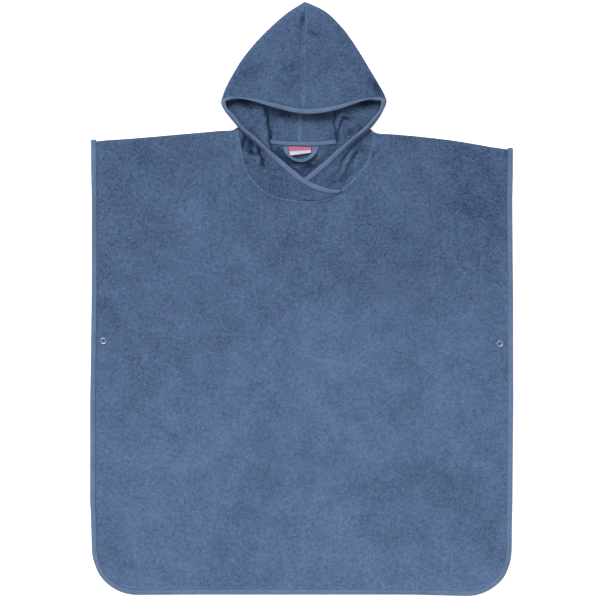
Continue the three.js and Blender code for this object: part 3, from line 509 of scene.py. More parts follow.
def lathe(name, centre, profile, material, replaces=(), segments=64):
    """A ring turned round a snap from a closed profile of radius and level."""
    angles = np.linspace(0, math.tau, segments, endpoint=False)
    profile = np.array(profile)
    rings = np.zeros((segments, len(profile), 3))
    rings[..., 0] = centre[0] + profile[None, :, 0] * np.cos(angles)[:, None]
    rings[..., 1] = centre[1] + profile[None, :, 0] * np.sin(angles)[:, None]
    rings[..., 2] = profile[None, :, 1]
    return sweep(name, rings, True, material, replaces)


def stitches(name, path, up, material, pitch=3.1, length=2.3, width=0.55):
    """A row of single stitches lying along a path, each a small flattened spindle."""
    steps = np.linalg.norm(np.diff(path, axis=0), axis=1)
    distance = np.concatenate([[0], np.cumsum(steps)])
    places = np.arange(pitch, distance[-1] - pitch, pitch)

    def read(values, at):
        return np.stack([np.interp(at, distance, values[:, k]) for k in range(3)], axis=-1)

    centre = read(path, places)
    ahead = unit(read(path, places + 0.8) - read(path, places - 0.8))
    rise = unit(read(up, places))
    side = unit(np.cross(ahead, rise))
    rise = np.cross(side, ahead)
    points = [centre - ahead * length / 2, centre + ahead * length / 2]
    faces = []
    around = 6
    for k in range(around):
        angle = math.tau * k / around
        points.append(centre + side * math.cos(angle) * width / 2
                      + rise * math.sin(angle) * width * 0.4)
        a, b = 2 + k, 2 + (k + 1) % around
        faces += [(0, b, a), (1, a, b)]
    points = np.stack(points, axis=1)
    count = points.shape[1]
    starts = (np.arange(len(places)) * count)[:, None, None]
    faces = (np.array(faces)[None] + starts).reshape(-1, 3)
    return add_piece(name, points.reshape(-1, 3), faces, material)


# Materials


class Shade:
    """Builds one node material, socket by socket."""

    def __init__(self, name):
        self.material = bpy.data.materials.new(name)
        self.material.use_nodes = True
        self.tree = self.material.node_tree
        self.shader = self.tree.nodes["Principled BSDF"]
        self.place = self.add("ShaderNodeTexCoord").outputs["Object"]

    def add(self, kind, **settings):
        made = self.tree.nodes.new(kind)
        for key, value in settings.items():
            setattr(made, key, value)
        return made

    def link(self, source, target):
        self.tree.links.new(source, target)

    def noise(self, scale, detail=3.0, rough=0.55):
        made = self.add("ShaderNodeTexNoise")
        made.inputs["Scale"].default_value = scale
        made.inputs["Detail"].default_value = detail
        made.inputs["Roughness"].default_value = rough
        self.link(self.place, made.inputs["Vector"])
        return made.outputs["Fac"]

    def cells(self, scale):
        made = self.add("ShaderNodeTexVoronoi")
        made.inputs["Scale"].default_value = scale
        self.link(self.place, made.inputs["Vector"])
        return made.outputs["Distance"]

    def span(self, value, low, high, out_low, out_high):
        made = self.add("ShaderNodeMapRange")
        for socket, number in zip(("From Min", "From Max", "To Min", "To Max"),
                                  (low, high, out_low, out_high)):
            made.inputs[socket].default_value = number
        self.link(value, made.inputs["Value"])
        return made.outputs["Result"]

    def math(self, operation, a, b):
        made = self.add("ShaderNodeMath", operation=operation)
        for socket, value in zip(made.inputs, (a, b)):
            if isinstance(value, (int, float)):
                socket.default_value = value
            else:
                self.link(value, socket)
        return made.outputs["Value"]

    def total(self, first, *others):
        for value in others:
            first = self.math("ADD", first, value)
        return first

    def mottle(self, value, amount):
        """Noise as a tone that goes as far up as down."""
        return self.span(value, 0.3, 0.7, -amount, amount)

    def blend(self, factor, first, second):
        made = self.add("ShaderNodeMix", data_type="RGBA")
        self.link(factor, made.inputs["Factor"])
        for socket, value in ((made.inputs[6], first), (made.inputs[7], second)):
            if isinstance(value, tuple):
                socket.default_value = (*value, 1.0)
            else:
                self.link(value, socket)
        return made.outputs[2]

    def bump(self, height, strength, depth, under=None):
        made = self.add("ShaderNodeBump")
        made.inputs["Strength"].default_value = strength
        made.inputs["Distance"].default_value = depth
        self.link(height, made.inputs["Height"])
        if under is not None:
            self.link(under, made.inputs["Normal"])
        return made.outputs["Normal"]

    def finish(self, colour, rough, normal=None, **constants):
        self.link(colour, self.shader.inputs["Base Color"])
        if isinstance(rough, float):
            self.shader.inputs["Roughness"].default_value = rough
        else:
            self.link(rough, self.shader.inputs["Roughness"])
        if normal is not None:
            self.link(normal, self.shader.inputs["Normal"])
        for key, value in constants.items():
            self.shader.inputs[key.replace("_", " ")].default_value = value
        return self.material


def terry_material(name, shadow, light):
    """Looped cotton: cells for the loops, noise for their lean, broad worn and brushed areas; painted
    light on the loop tops, painted shade in the gaps between them, toward the hood and the right, and
    from a vertex attribute.
    """
    shade = Shade(name)
    loops = shade.cells(820.0)
    tufts = shade.noise(470.0, 3.0, 0.6)
    lean = shade.noise(170.0, 3.0, 0.6)
    patches = shade.noise(26.0, 4.0, 0.6)
    broad = shade.noise(5.5, 2.0, 0.5)
    pile = shade.math("ADD", shade.span(loops, 0.0, 0.75, 1.0, 0.0),
                      shade.math("MULTIPLY", tufts, 0.9))
    where = shade.add("ShaderNodeSeparateXYZ")
    shade.link(shade.place, where.inputs["Vector"])
    # Painted shade: darker toward the hood and toward the right, for the fall of the light
    painted_shade_toward_hood = shade.span(where.outputs["Y"], -0.20, 0.10, 0.03, -0.14)
    painted_shade_toward_right = shade.span(where.outputs["X"], 0.06, 0.30, 0.0, -0.05)
    # The loop cells paint light on the loop tops and shade in the gaps between them
    tone = shade.total(
        shade.span(tufts, 0.32, 0.68, -0.25, 0.25), shade.span(loops, 0.1, 0.7, 0.13, -0.17),
        shade.mottle(lean, 0.13), shade.mottle(patches, 0.11), shade.mottle(broad, 0.09),
        painted_shade_toward_hood, painted_shade_toward_right)
    # The vertex attribute read here is painted shade: it darkens the cloth where shade falls and
    # lightens it where it is below zero
    painted_shade = shade.add("ShaderNodeAttribute", attribute_name="painted_shade").outputs["Fac"]
    tone = shade.math("SUBTRACT", tone, shade.math("MULTIPLY", painted_shade, PAINTED_SHADE_DEPTH))
    factor = shade.span(tone, -0.75, 0.5, 0.0, 1.0)
    greener = tuple(value * share for value, share in zip(light, TEAL_SHARES))
    violet = shade.blend(factor, shadow, light)
    teal = shade.blend(factor, shadow, greener)
    hue = shade.span(shade.noise(38.0, 3.0, 0.6), 0.38, 0.62, 0.0, 1.0)
    colour = shade.blend(hue, violet, teal)
    coarse = shade.bump(lean, 0.35, 0.0012)
    normal = shade.bump(pile, 0.75, 0.0009, coarse)
    return shade.finish(colour, shade.span(tufts, 0.3, 0.7, 0.88, 1.0), normal,
                        Specular_IOR_Level=0.08, Sheen_Weight=0.18, Sheen_Roughness=0.55,
                        Sheen_Tint=(0.30, 0.48, 0.85, 1.0))


def tape_material():
    """Fine ribbed binding tape, smoother and lighter than the terry."""
    shade = Shade("tape")
    track = shade.add("ShaderNodeUVMap", uv_map="along_across").outputs["UV"]
    ribs = shade.add("ShaderNodeTexWave", bands_direction="X")
    ribs.inputs["Scale"].default_value = 0.42
    ribs.inputs["Distortion"].default_value = 0.6
    shade.link(track, ribs.inputs["Vector"])
    knit = shade.noise(620.0, 2.0, 0.5)
    wear = shade.noise(60.0, 3.0, 0.6)
    broad = shade.noise(8.0, 2.0, 0.5)
    tone = shade.total(
        shade.mottle(knit, 0.18), shade.span(ribs.outputs["Fac"], 0.0, 1.0, -0.10, 0.10),
        shade.mottle(wear, 0.12), shade.mottle(broad, 0.10))
    factor = shade.span(tone, -0.5, 0.5, 0.0, 1.0)
    colour = shade.blend(factor, (0.056, 0.090, 0.163), (0.136, 0.206, 0.338))
    height = shade.math("ADD", ribs.outputs["Fac"], knit)
    normal = shade.bump(height, 0.35, 0.00035)
    return shade.finish(colour, shade.span(knit, 0.3, 0.7, 0.70, 0.88), normal,
                        Specular_IOR_Level=0.2, Sheen_Weight=0.12, Sheen_Roughness=0.4,
                        Sheen_Tint=(0.35, 0.52, 0.85, 1.0))


def thread_material():
    shade = Shade("thread")
    twist = shade.noise(1500.0, 2.0, 0.5)
    tone = shade.noise(140.0, 2.0, 0.5)
    colour = shade.blend(tone, (0.085, 0.130, 0.225), (0.160, 0.235, 0.375))
    normal = shade.bump(twist, 0.4, 0.0002)
    return shade.finish(colour, 0.62, normal, Specular_IOR_Level=0.3)


def metal_material():
    """Bright nickel with fine turning marks and small dull spots; its colour is darkened and tinted
    blue as a painted reflection of the cloth around it.
    """
    shade = Shade("snap_metal")
    spots = shade.noise(900.0, 3.0, 0.6)
    brushed = shade.noise(3200.0, 1.0, 0.5)
    # Painted reflection: blue-grey colours for the blue cloth around the ring
    colour = shade.blend(spots, (0.24, 0.28, 0.36), (0.46, 0.50, 0.58))
    normal = shade.bump(brushed, 0.12, 0.0001)
    return shade.finish(colour, shade.span(spots, 0.3, 0.7, 0.28, 0.48), normal, Metallic=1.0)


def label_material():
    """Woven satin, red over a pale lower part; the boundary is woven, so it is a little soft."""
    shade = Shade("label")
    track = shade.add("ShaderNodeUVMap", uv_map="along_across").outputs["UV"]
    down = shade.add("ShaderNodeSeparateXYZ")
    shade.link(track, down.inputs["Vector"])
    weave = shade.noise(1900.0, 2.0, 0.5)
    soft = shade.math("ADD", down.outputs["Y"], shade.mottle(weave, 0.03))
    factor = shade.span(soft, LABEL_RED_SHARE - 0.06, LABEL_RED_SHARE + 0.08, 0.0, 1.0)
    colour = shade.blend(factor, (0.34, 0.070, 0.145), (0.45, 0.46, 0.58))
    normal = shade.bump(weave, 0.3, 0.00015)
    return shade.finish(colour, shade.span(weave, 0.3, 0.7, 0.38, 0.55), normal,
                        Specular_IOR_Level=0.4, Sheen_Weight=0.1)


def floor_material():
    shade = Shade("pale_floor")
    grain = shade.noise(40.0, 2.0, 0.5)
    colour = shade.blend(grain, (0.93, 0.93, 0.93), (0.95, 0.95, 0.95))
    shade.shader.inputs["Emission Color"].default_value = (1.0, 1.0, 1.0, 1.0)
    return shade.finish(colour, 0.9, Specular_IOR_Level=0.05, Emission_Strength=0.62)


MATERIALS = {
    "terry": terry_material("terry", (0.0125, 0.0245, 0.054), (0.139, 0.212, 0.384)),
    # Painted highlight: a lighter copy of the terry, for the rolled neck seam
    "painted_light_seam_terry": terry_material("painted_light_seam_terry", (0.030, 0.055, 0.110), (0.165, 0.255, 0.410)),
    "tape": tape_material(), "thread": thread_material(),
    "snap_metal": metal_material(), "label": label_material(),
}


# Body panels


def edge_distance(x, y):
    """How far a point lies inside the cut edge at the sides and the hem."""
    corner = CUT_HALF - CUT_RADIUS
    low = CUT_HEM + CUT_RADIUS
    straight = np.minimum(CUT_HALF - np.abs(x), y - CUT_HEM)
    radial = CUT_RADIUS - np.hypot(np.abs(x) - corner, low - y)
    return np.where((np.abs(x) > corner) & (y < low), radial, straight)


def snap_grip(x, y):
    grip = np.zeros_like(x)
    for snap_x, snap_y in SNAPS.values():
        r = np.hypot(x - snap_x, y - snap_y)
        grip = np.maximum(grip, smooth(1 - (r - SNAP_FLAT) / SNAP_FADE))
    return grip


def swell_at(x, y):
    lift = np.zeros_like(x)
    for swell_x, swell_y, across, along, height in SWELLS:
        r = np.hypot((x - swell_x) / across, (y - swell_y) / along)
        lift += height * smooth(1 - r)
    return lift


def panel_plan(top_rows, spacing):
    """Flat x and y of a panel grid from the hem (first column) to its upper line."""
    corner = CUT_HALF - CUT_RADIUS
    arc = corner + CUT_RADIUS * np.sin(np.linspace(0, math.pi / 2, 28))
    right = np.concatenate([np.linspace(0, corner, round(corner / spacing)), arc[1:]])
    right = np.union1d(right, np.arange(*NECK_SIDE_SPAN, spacing / 3))
    x = np.concatenate([-right[:0:-1], right])
    past = np.clip(np.abs(x) - corner, 0, CUT_RADIUS)
    bottom = CUT_HEM + CUT_RADIUS - np.sqrt(CUT_RADIUS ** 2 - past ** 2)
    top = line_at(top_rows, x)
    near = np.array([0, 3, 6, 8.5, 9.6, 10.8, 12.5, 15, 18, 22])
    edge = np.array([4.5, 2.6, 1.4, 0.6, 0.2, 0.0])
    rows = round(640 / spacing)
    share = np.linspace(0, 1, rows)[1:-1]
    middle = mix(bottom[:, None] + near[-1], top[:, None] - edge[0], share[None])
    y = np.concatenate([bottom[:, None] + near, middle, top[:, None] - edge], axis=1)
    return np.broadcast_to(x[:, None], y.shape).copy(), y, top[:, None] - y


def add_panel(name, top_rows, spacing, front):
    """One body panel: flat cloth that the tape and the snaps squeeze, rounded at its top."""
    x, y, below_top = panel_plan(top_rows, spacing)
    inside = edge_distance(x, y)
    grip_fade, top_round = 2.6, 1.7
    puff_rise, puff_place, puff_width = 0.35, 15, 4.5
    grip = np.maximum(smooth(1 - (inside - BOUND_BAND) / grip_fade), snap_grip(x, y))
    free = 1 - grip
    roll = np.clip(below_top / top_round, 0.0, 1.0)
    thick = mix(TERRY_THICK, SQUEEZED_THICK, grip) * np.sqrt(np.maximum(0.03, roll * (2 - roll)))
    puff = puff_rise * np.exp(-(((inside - puff_place) / puff_width) ** 2))
    pile = PILE_RISE * bump_field(x, y, 7.0, 3) * free
    if front:
        middle = mix(FRONT_MIDDLE, FRONT_BOUND_MIDDLE, grip)
        lift = swell_at(x, y) + creased(x, y, FRONT_CREASES) + 0.22 * bump_field(x, y, 46, 5)
        middle += (lift + puff) * free - 0.5 * smooth(1 - below_top / 6)
        middle += seam_ridge(x, y) * free
        high = middle + thick / 2 + pile
        low = middle - thick / 2
    else:
        lift = 0.5 * creased(x, y, BACK_CREASES) * free
        low = np.where(grip > 0, grip * 1.3, 0.0) + 0.35 * smooth(1 - below_top / 5)
        high = np.minimum(low + thick + np.minimum(lift + pile, 0.1), 2.62 - 0.2 * grip)
    upper = bowed(np.stack([x, y, high], axis=-1))
    lower = bowed(np.stack([x, y, low], axis=-1))
    # Painted shade in the panel's troughs and patches, painted light where a share is below zero
    painted_shade = creased(x, y, FRONT_PAINTED_SHADE if front else INSIDE_PAINTED_SHADE)
    return shell(f"{name}_cloth", upper, lower, "terry", [name], painted_shade)


def seam_ridge(x, y):
    rise, outset, width = 0.75, 4.5, 3.2
    lift = np.zeros_like(x)
    for start, end in zip(RIDGE_LINE[:-1], RIDGE_LINE[1:]):
        off = beside_line(x, y, start + end)[1]
        lift = np.maximum(lift, rise * np.exp(-(((off - outset) / width) ** 2)))
    return lift


front = add_panel("front_panel", FRONT_TOP, 4.0, True)
back = add_panel("back_panel", BACK_TOP, 7.0, False)


# Bindings


def tape_section(leg, slack):
    """Folded tape: s runs outward from the cut edge, v across the cloth."""
    inner = SQUEEZED_THICK / 2 + SEAM_GAP + slack
    outer = BINDING_HALF + slack
    share = np.array([0.0, 0.03, 0.09, 0.16, 0.22, 0.32, 0.5, 0.72, 1.0])
    s = mix(-leg, 0.1, share)
    seat = 0.24 * np.exp(-(((share - 0.16) / 0.07) ** 2))
    v = outer + 0.16 * np.sin(math.pi * share) - seat - np.array([0.35, 0.08] + [0.0] * 7)
    turn = np.linspace(math.pi / 2, 0, 6)[1:]
    round_s = 0.1 + (TAPE_OVERHANG - 0.1) * np.cos(turn)
    round_v = outer * np.sin(turn)
    top = np.stack([np.concatenate([s, round_s]), np.concatenate([v, round_v])], axis=-1)
    under = top[-2::-1] * np.array([1.0, -1.0])
    hollow = np.array([[-leg, -inner], [SEAM_GAP + slack, -inner],
                       [SEAM_GAP + slack, inner], [-leg, inner]])
    return np.concatenate([top, under, hollow])


def add_binding(name, stations, legs, slack, closed, node):
    at, outward, up = stations
    steps = np.linalg.norm(np.diff(at, axis=0), axis=1)
    along = np.concatenate([[0], np.cumsum(steps)])
    source = np.random.default_rng(11)
    phases = source.uniform(0, math.tau, 4)
    wave = sum(np.sin(along / size + phase) for size, phase in zip((2.3, 4.1, 7.9, 19), phases))
    fade = np.ones_like(along)
    if closed:
        fade = smooth(np.minimum(along, along[-1] - along) / 12)
    wave = wave * fade / 4
    rings = []
    for k in range(len(at)):
        section = tape_section(legs[k] + 0.25 * wave[k], slack)
        rise = np.where(np.abs(section[:, 1]) > 1.0, 0.10 * wave[k], 0.0)
        rings.append(at[k] + outward[k] * section[:, :1]
                     + up[k] * (section[:, 1:] + np.sign(section[:, 1:]) * rise[:, None]))
    rings = np.array(rings)
    rings[..., 2] = np.maximum(rings[..., 2], 0.0)
    piece = sweep(f"{name}_cloth", rings, closed, "tape", [node])
    row = at - outward * (legs[:, None] * 0.84) + up * (BINDING_HALF + slack - 0.06)
    return piece, row


def outline_path(level, spacing=3.0):
    """Cut edge from the left shoulder down, along the hem and up the right side."""
    left_top = line_at(FRONT_TOP, -CUT_HALF)
    right_top = line_at(FRONT_TOP, CUT_HALF)
    low = CUT_HEM + CUT_RADIUS
    corner = CUT_HALF - CUT_RADIUS
    down = np.linspace(left_top, low, int((left_top - low) / spacing))
    turn = np.linspace(0, math.pi / 2, 44)[1:]
    hem = np.linspace(-corner, corner, int(2 * corner / spacing))[1:]
    rise = np.linspace(low, right_top, int((right_top - low) / spacing))[1:]
    xy = np.concatenate([
        np.stack([np.full_like(down, -CUT_HALF), down], axis=-1),
        np.stack([-corner - CUT_RADIUS * np.cos(turn), low - CUT_RADIUS * np.sin(turn)], axis=-1),
        np.stack([hem, np.full_like(hem, CUT_HEM)], axis=-1),
        np.stack([corner + CUT_RADIUS * np.sin(turn), low - CUT_RADIUS * np.cos(turn)], axis=-1),
        np.stack([np.full_like(rise, CUT_HALF), rise], axis=-1),
    ])
    at = bowed(np.concatenate([xy, np.full((len(xy), 1), level)], axis=1))
    ahead = unit(np.gradient(at, axis=0))
    outward = np.stack([ahead[:, 1], -ahead[:, 0], np.zeros(len(at))], axis=-1)
    outward[0] = (-1, 0, 0)
    outward[-1] = (1, 0, 0)
    return at, outward, np.tile((0.0, 0.0, 1.0), (len(at), 1))


def shoulder_turn(at, outward):
    """Stations that carry the tape over a shoulder end, from the front to the back."""
    radius = (FRONT_BOUND_MIDDLE - BINDING_HALF) / 2
    angles = np.linspace(0, math.pi, 13)[1:-1]
    places = np.tile(at, (len(angles), 1))
    places[:, 1] += SEAM_GAP + radius * np.sin(angles)
    places[:, 2] = BINDING_HALF + radius + radius * np.cos(angles)
    up = np.stack([np.zeros_like(angles), np.sin(angles), np.cos(angles)], axis=-1)
    return places, np.tile(outward, (len(angles), 1)), up


def add_edge_binding():
    front_side = outline_path(FRONT_BOUND_MIDDLE)
    at, outward, up = outline_path(BINDING_HALF)
    back_side = at[::-1], outward[::-1], -up[::-1]
    right_turn = shoulder_turn(front_side[0][-1], front_side[1][-1])
    left_turn = shoulder_turn(front_side[0][0], front_side[1][0])
    left_turn = tuple(part[::-1] for part in left_turn)
    parts = [front_side, right_turn, back_side, left_turn]
    stations = tuple(np.concatenate([part[k] for part in parts]) for k in range(3))
    legs = np.full(len(stations[0]), BINDING_WIDTH - TAPE_OVERHANG)
    piece, row = add_binding("edge_binding", stations, legs, 0.0, True, "edge_binding")
    count = len(front_side[0])
    thread = stitches("edge_binding_stitches", row[:count], stations[2][:count], "thread")
    return piece, thread, stations[0]


edge_tape, edge_thread, edge_path = add_edge_binding()


# Hood halves


def row_points(row, heights):
    """Eleven stations across a row: the named columns with each fold opened into three."""
    base, fold, back_layer, outline, front_layer, edge = (np.array(p, float) for p in row)

    def beside(start, toward, rise):
        step = toward - start
        step[2] = 0
        length = np.linalg.norm(step)
        place = start + step / length * min(FOLD_INSET, length / 2)
        place[2] = start[2] + rise
        return place

    reach = front_layer - edge
    length = np.linalg.norm(reach)
    grip = edge + reach / length * min(GRIP_LENGTH, length * 0.85)
    inner, outer = heights
    return [
        base, beside(fold, base, -inner), fold, beside(fold, back_layer, inner), back_layer,
        beside(outline, back_layer, -outer), outline, beside(outline, front_layer, outer),
        front_layer, grip, edge,
    ]


def rest_level(x, y):
    """Level of what carries the cloth: the floor, or the back panel below its neckline."""
    neckline = line_at(BACK_TOP, x) + 2.1
    return (TERRY_THICK + SEAM_GAP) * smooth((neckline - y) / 2.0 + 0.6)


def hood_surface(rows):
    """Middle surface of one hood half, with its row and column places."""
    stations = np.array([row_points(row, h) for row, h in zip(rows, FOLD_HEIGHTS)])
    u = np.linspace(0, len(rows) - 1, (len(rows) - 1) * ROW_STEPS + 1)
    v = np.concatenate([np.linspace(i, i + 1, n, endpoint=False)
                        for i, n in enumerate(SPAN_STEPS)] + [[len(SPAN_STEPS)]])
    lanes = spline(stations, u)
    open_cloth = spline(lanes[:, :-1].swapaxes(0, 1), v).swapaxes(0, 1)
    bound = np.array([0.08, 1 - GRIP_SHARE, 0.4, 0.6, 0.8, 1.0])
    grip, edge = lanes[:, -2], lanes[:, -1]
    gripped = grip[:, None] + (edge - grip)[:, None] * bound[None, :, None]
    surface = np.concatenate([open_cloth, gripped], axis=1)
    v = np.concatenate([v, len(SPAN_STEPS) + bound])
    return surface, *np.meshgrid(u, v, indexing="ij")


def surface_normals(surface):
    along = np.gradient(surface, axis=0)
    across = np.gradient(surface, axis=1)
    return unit(np.cross(across, along))


def between(value, low, low_fade, high, high_fade):
    return smooth((value - low) / low_fade) * smooth((high - value) / high_fade)


def hood_lift(surface, u, v):
    """Creases of each zone of the hood; u counts its rows and v its columns."""
    x, y = surface[..., 0], surface[..., 1]
    crown = between(v, 6.6, 0.8, 9.0, 0.5) * smooth((7.6 - u) / 1.5)
    inside = smooth((4.6 - v) / 0.8) * smooth((6.5 - u) / 1.5)
    bunch = between(v, 0, 0.07, 1.9, 0.8) * between(u, 5.5, 1.5, 14.5, 1.5)
    gathered = between(v, 0.05, 0.2, 1.6, 0.5) * between(u, 7.5, 1.5, 12.5, 1.5)
    collar = between(v, 0, 0.4, 8.6, 1.0) * smooth((u - 11.5) / 1.5)
    lift = crown * (creased(x, y, CROWN_CREASES) + 0.55 * bump_field(x, y, 42, 8))
    lift += inside * (creased(x, y, INSIDE_CREASES) + 0.2 * bump_field(x, y, 24, 9))
    lift += bunch * (creased(x, y, BUNCH_CREASES) + 0.4 * bump_field(x, y, 9, 10))
    lift += GATHER_RISE * gathered
    lift += collar * creased(x, y, COLLAR_CREASES)
    lip = np.exp(-(((v - 2.3) / 1.1) ** 2)) * smooth((u - 3.4) / 1.2) * smooth((10.5 - u) / 2.5)
    return lift + LIP_RISE * lip


def add_hood_half(name, rows):
    surface, u, v = hood_surface(rows)
    spans = len(SPAN_STEPS)
    surface[..., 2] += hood_lift(surface, u, v)
    rest = rest_level(surface[..., 0], surface[..., 1])
    surface[..., 2] = np.maximum(surface[..., 2], rest + BACK_MIDDLE)
    normals = surface_normals(surface)
    normals[0, :, 0] = 0
    normals[0] = unit(normals[0])
    fold = smooth((u - 1.8) / 3.2)
    thick = mix(TERRY_THICK, FOLD_THICK, fold)
    thick = mix(thick, SQUEEZED_THICK, smooth((v - spans) / (1 - GRIP_SHARE)))
    sewn = smooth(1 - v / 0.12) + smooth(1 - u / 0.10)
    thick = np.maximum(thick - SEAM_SQUEEZE * sewn, 0.9)
    free = smooth((spans + 0.1 - v) / 0.3)
    x, y = surface[..., 0], surface[..., 1]
    pile = (0.5 * PILE_RISE * bump_field(x, y, 7.0, 13) * free)[..., None]
    one = surface + normals * (thick[..., None] / 2 + pile)
    two = surface - normals * (thick[..., None] / 2 + pile)
    for side in (one, two):
        side[..., 2] = np.maximum(side[..., 2], rest)
    hidden = np.maximum(smooth((5.5 - v) / 0.5), smooth(u - 10.5))
    # Painted highlight along the crown seam, stronger on the inside layer
    seam_light = mix(*SEAM_LIGHT, hidden) + 0.14 * bump_field(0 * x, y, 16, 21)
    # Painted shade over the hood's inside layer and collar and from the tables, painted light where a
    # share is below zero
    painted_shade = hidden * (INSIDE_SHADE + creased(x, y, HOOD_PAINTED_SHADE))
    painted_shade += (1 - hidden) * creased(x, y, CROWN_PAINTED_SHADE)
    painted_shade -= seam_light * smooth(1 - u / SEAM_LIGHT_WIDTH)
    piece = shell(f"{name}_cloth", one, two, "terry", [name], painted_shade)
    edge, start = surface[:, -1], surface[:, -5]
    outward = unit(edge - start)
    up = unit(normals[:, -1])
    leg = np.linalg.norm(edge - start, axis=1) - SEAM_GAP
    return piece, edge, outward, up, leg


def shifted(row, dx):
    return [(x + dx, y, z) for x, y, z in row]


def evened(values, width=7):
    """Moving average along the first axis that keeps both ends."""
    kernel = np.hanning(width + 2)[1:-1]
    kernel /= kernel.sum()
    padded = np.concatenate([np.repeat(values[:1], width // 2, axis=0), values,
                             np.repeat(values[-1:], width // 2, axis=0)])
    flat = padded.reshape(len(padded), -1)
    done = np.stack([np.convolve(column, kernel, "valid") for column in flat.T], axis=-1)
    return done.reshape(values.shape)


hood_left, *left_edge = add_hood_half(
    "hood_left", [shifted(SEAM_ROW, -0.02)] + LEFT_ROWS)
hood_right, *right_edge = add_hood_half(
    "hood_right", [shifted(SEAM_ROW, 0.02)] + RIGHT_ROWS)


def add_hood_binding():
    """One tape from the left collar end, round the opening, to the right collar end."""
    right = [right_edge[0], right_edge[1], -right_edge[2], right_edge[3]]
    at, outward, up, leg = (
        np.concatenate([left[:0:-1], right_part[1:]])
        for left, right_part in zip(left_edge, right))
    outward = unit(evened(outward))
    up = unit(evened(up - outward * np.sum(up * outward, axis=1, keepdims=True)))
    leg = evened(leg)
    if np.median(up[:, 2]) < 0:
        up = -up
    piece, row = add_binding("hood_binding", (at, outward, up), leg, 0.15, False, "hood_binding")
    upper = stitches("hood_binding_stitches", row, up, "thread")
    return piece, upper, at


hood_tape, hood_thread, hood_path = add_hood_binding()


# Neck seam, from behind the left notch round the front to the right notch
SEWN_EDGE = [row[0] for row in LEFT_ROWS[7:]] + [row[0] for row in RIGHT_ROWS[13:6:-1]]


def add_neck_roll():
    """The sewn edges of collar and front cloth, which roll outward together."""
    count, level, radius, outset, flatness = 300, 4.75, 1.45, 0.9, 1.25
    at = spline(SEWN_EDGE, np.linspace(0, len(SEWN_EDGE) - 1, count))
    ahead = unit(np.gradient(at, axis=0))
    side = np.stack([ahead[:, 1], -ahead[:, 0], np.zeros(count)], axis=-1)
    at = at + side * outset
    at[:, 2] = np.maximum(at[:, 2] - 0.1, level)
    angles = np.linspace(0, math.tau, 12, endpoint=False)
    place = np.arange(count)
    radii = radius + 0.14 * np.sin(place / 3.3) + 0.09 * np.sin(place / 1.37 + 1)
    radii *= np.clip(np.minimum(place, count - 1 - place) / 6, 0.25, 1)
    across = side[:, None] * np.cos(angles)[None, :, None] * flatness
    rise = np.array([0.0, 0.0, 1.0]) * np.sin(angles)[None, :, None]
    rings = at[:, None] + (across + rise) * radii[:, None, None]
    # The roll takes the lighter copy of the terry as a painted highlight
    return sweep("neck_seam_roll", rings, False, "painted_light_seam_terry")


neck_roll = add_neck_roll()


# Neck tape, hanger loop and label


def ribbon_section(width, thick):
    """Flat ribbon with softly rounded, slightly thicker edges."""
    half, rise = width / 2, thick / 2
    top = [(-half, 0.0), (-half + 0.2, rise * 0.85), (-half + 0.7, rise), (-half + 1.3, rise * 0.8),
           (-half * 0.4, rise * 0.95), (0.0, rise), (half * 0.4, rise * 0.95),
           (half - 1.3, rise * 0.8), (half - 0.7, rise), (half - 0.2, rise * 0.85), (half, 0.0)]
    under = [(s, -v) for s, v in top[-2:0:-1]]
    return np.array(top + under)


def ribbon(name, at, across, up, width, node, rise):
    section = ribbon_section(width, TAPE_THICK)
    rings = at[:, None] + across[:, None] * section[None, :, :1] + up[:, None] * section[None, :, 1:]
    rings[..., 2] += rise[:, None]
    return sweep(name, rings, False, "tape", [node])


def add_neck_tape():
    middle_line = [(-50.2, 241.2), (-24, 238.6), (3, 238.0), (30, 238.6), (55.2, 241.0)]
    x = np.linspace(middle_line[0][0], middle_line[-1][0], 60)
    line = spline(middle_line, np.linspace(0, len(middle_line) - 1, len(x)))
    level = TERRY_THICK + SEAM_GAP + TAPE_THICK / 2
    at = np.concatenate([line, np.full((len(x), 1), level)], axis=1)
    across = np.tile((0.0, 1.0, 0.0), (len(x), 1))
    up = np.tile((0.0, 0.0, 1.0), (len(x), 1))
    piece = ribbon("neck_tape_ribbon", at, across, up, 6.4, "neck_tape",
                   0.12 * np.sin(x / 4.1) + 0.1)
    thread = stitches("neck_tape_stitches", at + [0, -2.2, 0.62], up, "thread", 2.8, 2.0, 0.5)
    return piece, thread


def add_hanger_loop():
    """Half-moon of tape, flat at both ends and tilted up on its edge at its lowest point."""
    half_span, drop, width = 26.8, 24.3, 9.0
    angles = np.linspace(0, math.pi, 72)
    sideways, down = np.cos(angles), np.sin(angles)
    tilt = 1.05 * smooth(down)
    flat_level = TERRY_THICK + SEAM_GAP + TAPE_THICK / 2
    lift = np.sin(tilt) * width / 2 + np.cos(tilt) * TAPE_THICK / 2
    at = np.stack([
        -0.8 - sideways * (half_span - width / 2),
        233.6 - down * (drop - width / 2 * np.cos(tilt)),
        np.maximum(flat_level, TERRY_THICK + SEAM_GAP + lift)], axis=-1)
    outward = np.stack([-sideways, -down, np.zeros_like(down)], axis=-1)
    upright = np.array([0.0, 0.0, 1.0])
    across = outward * np.cos(tilt)[:, None] + upright * np.sin(tilt)[:, None]
    up = upright * np.cos(tilt)[:, None] - outward * np.sin(tilt)[:, None]
    return ribbon("hanger_loop_ribbon", at, across, up, width, "hanger_loop",
                  np.zeros(len(angles)))


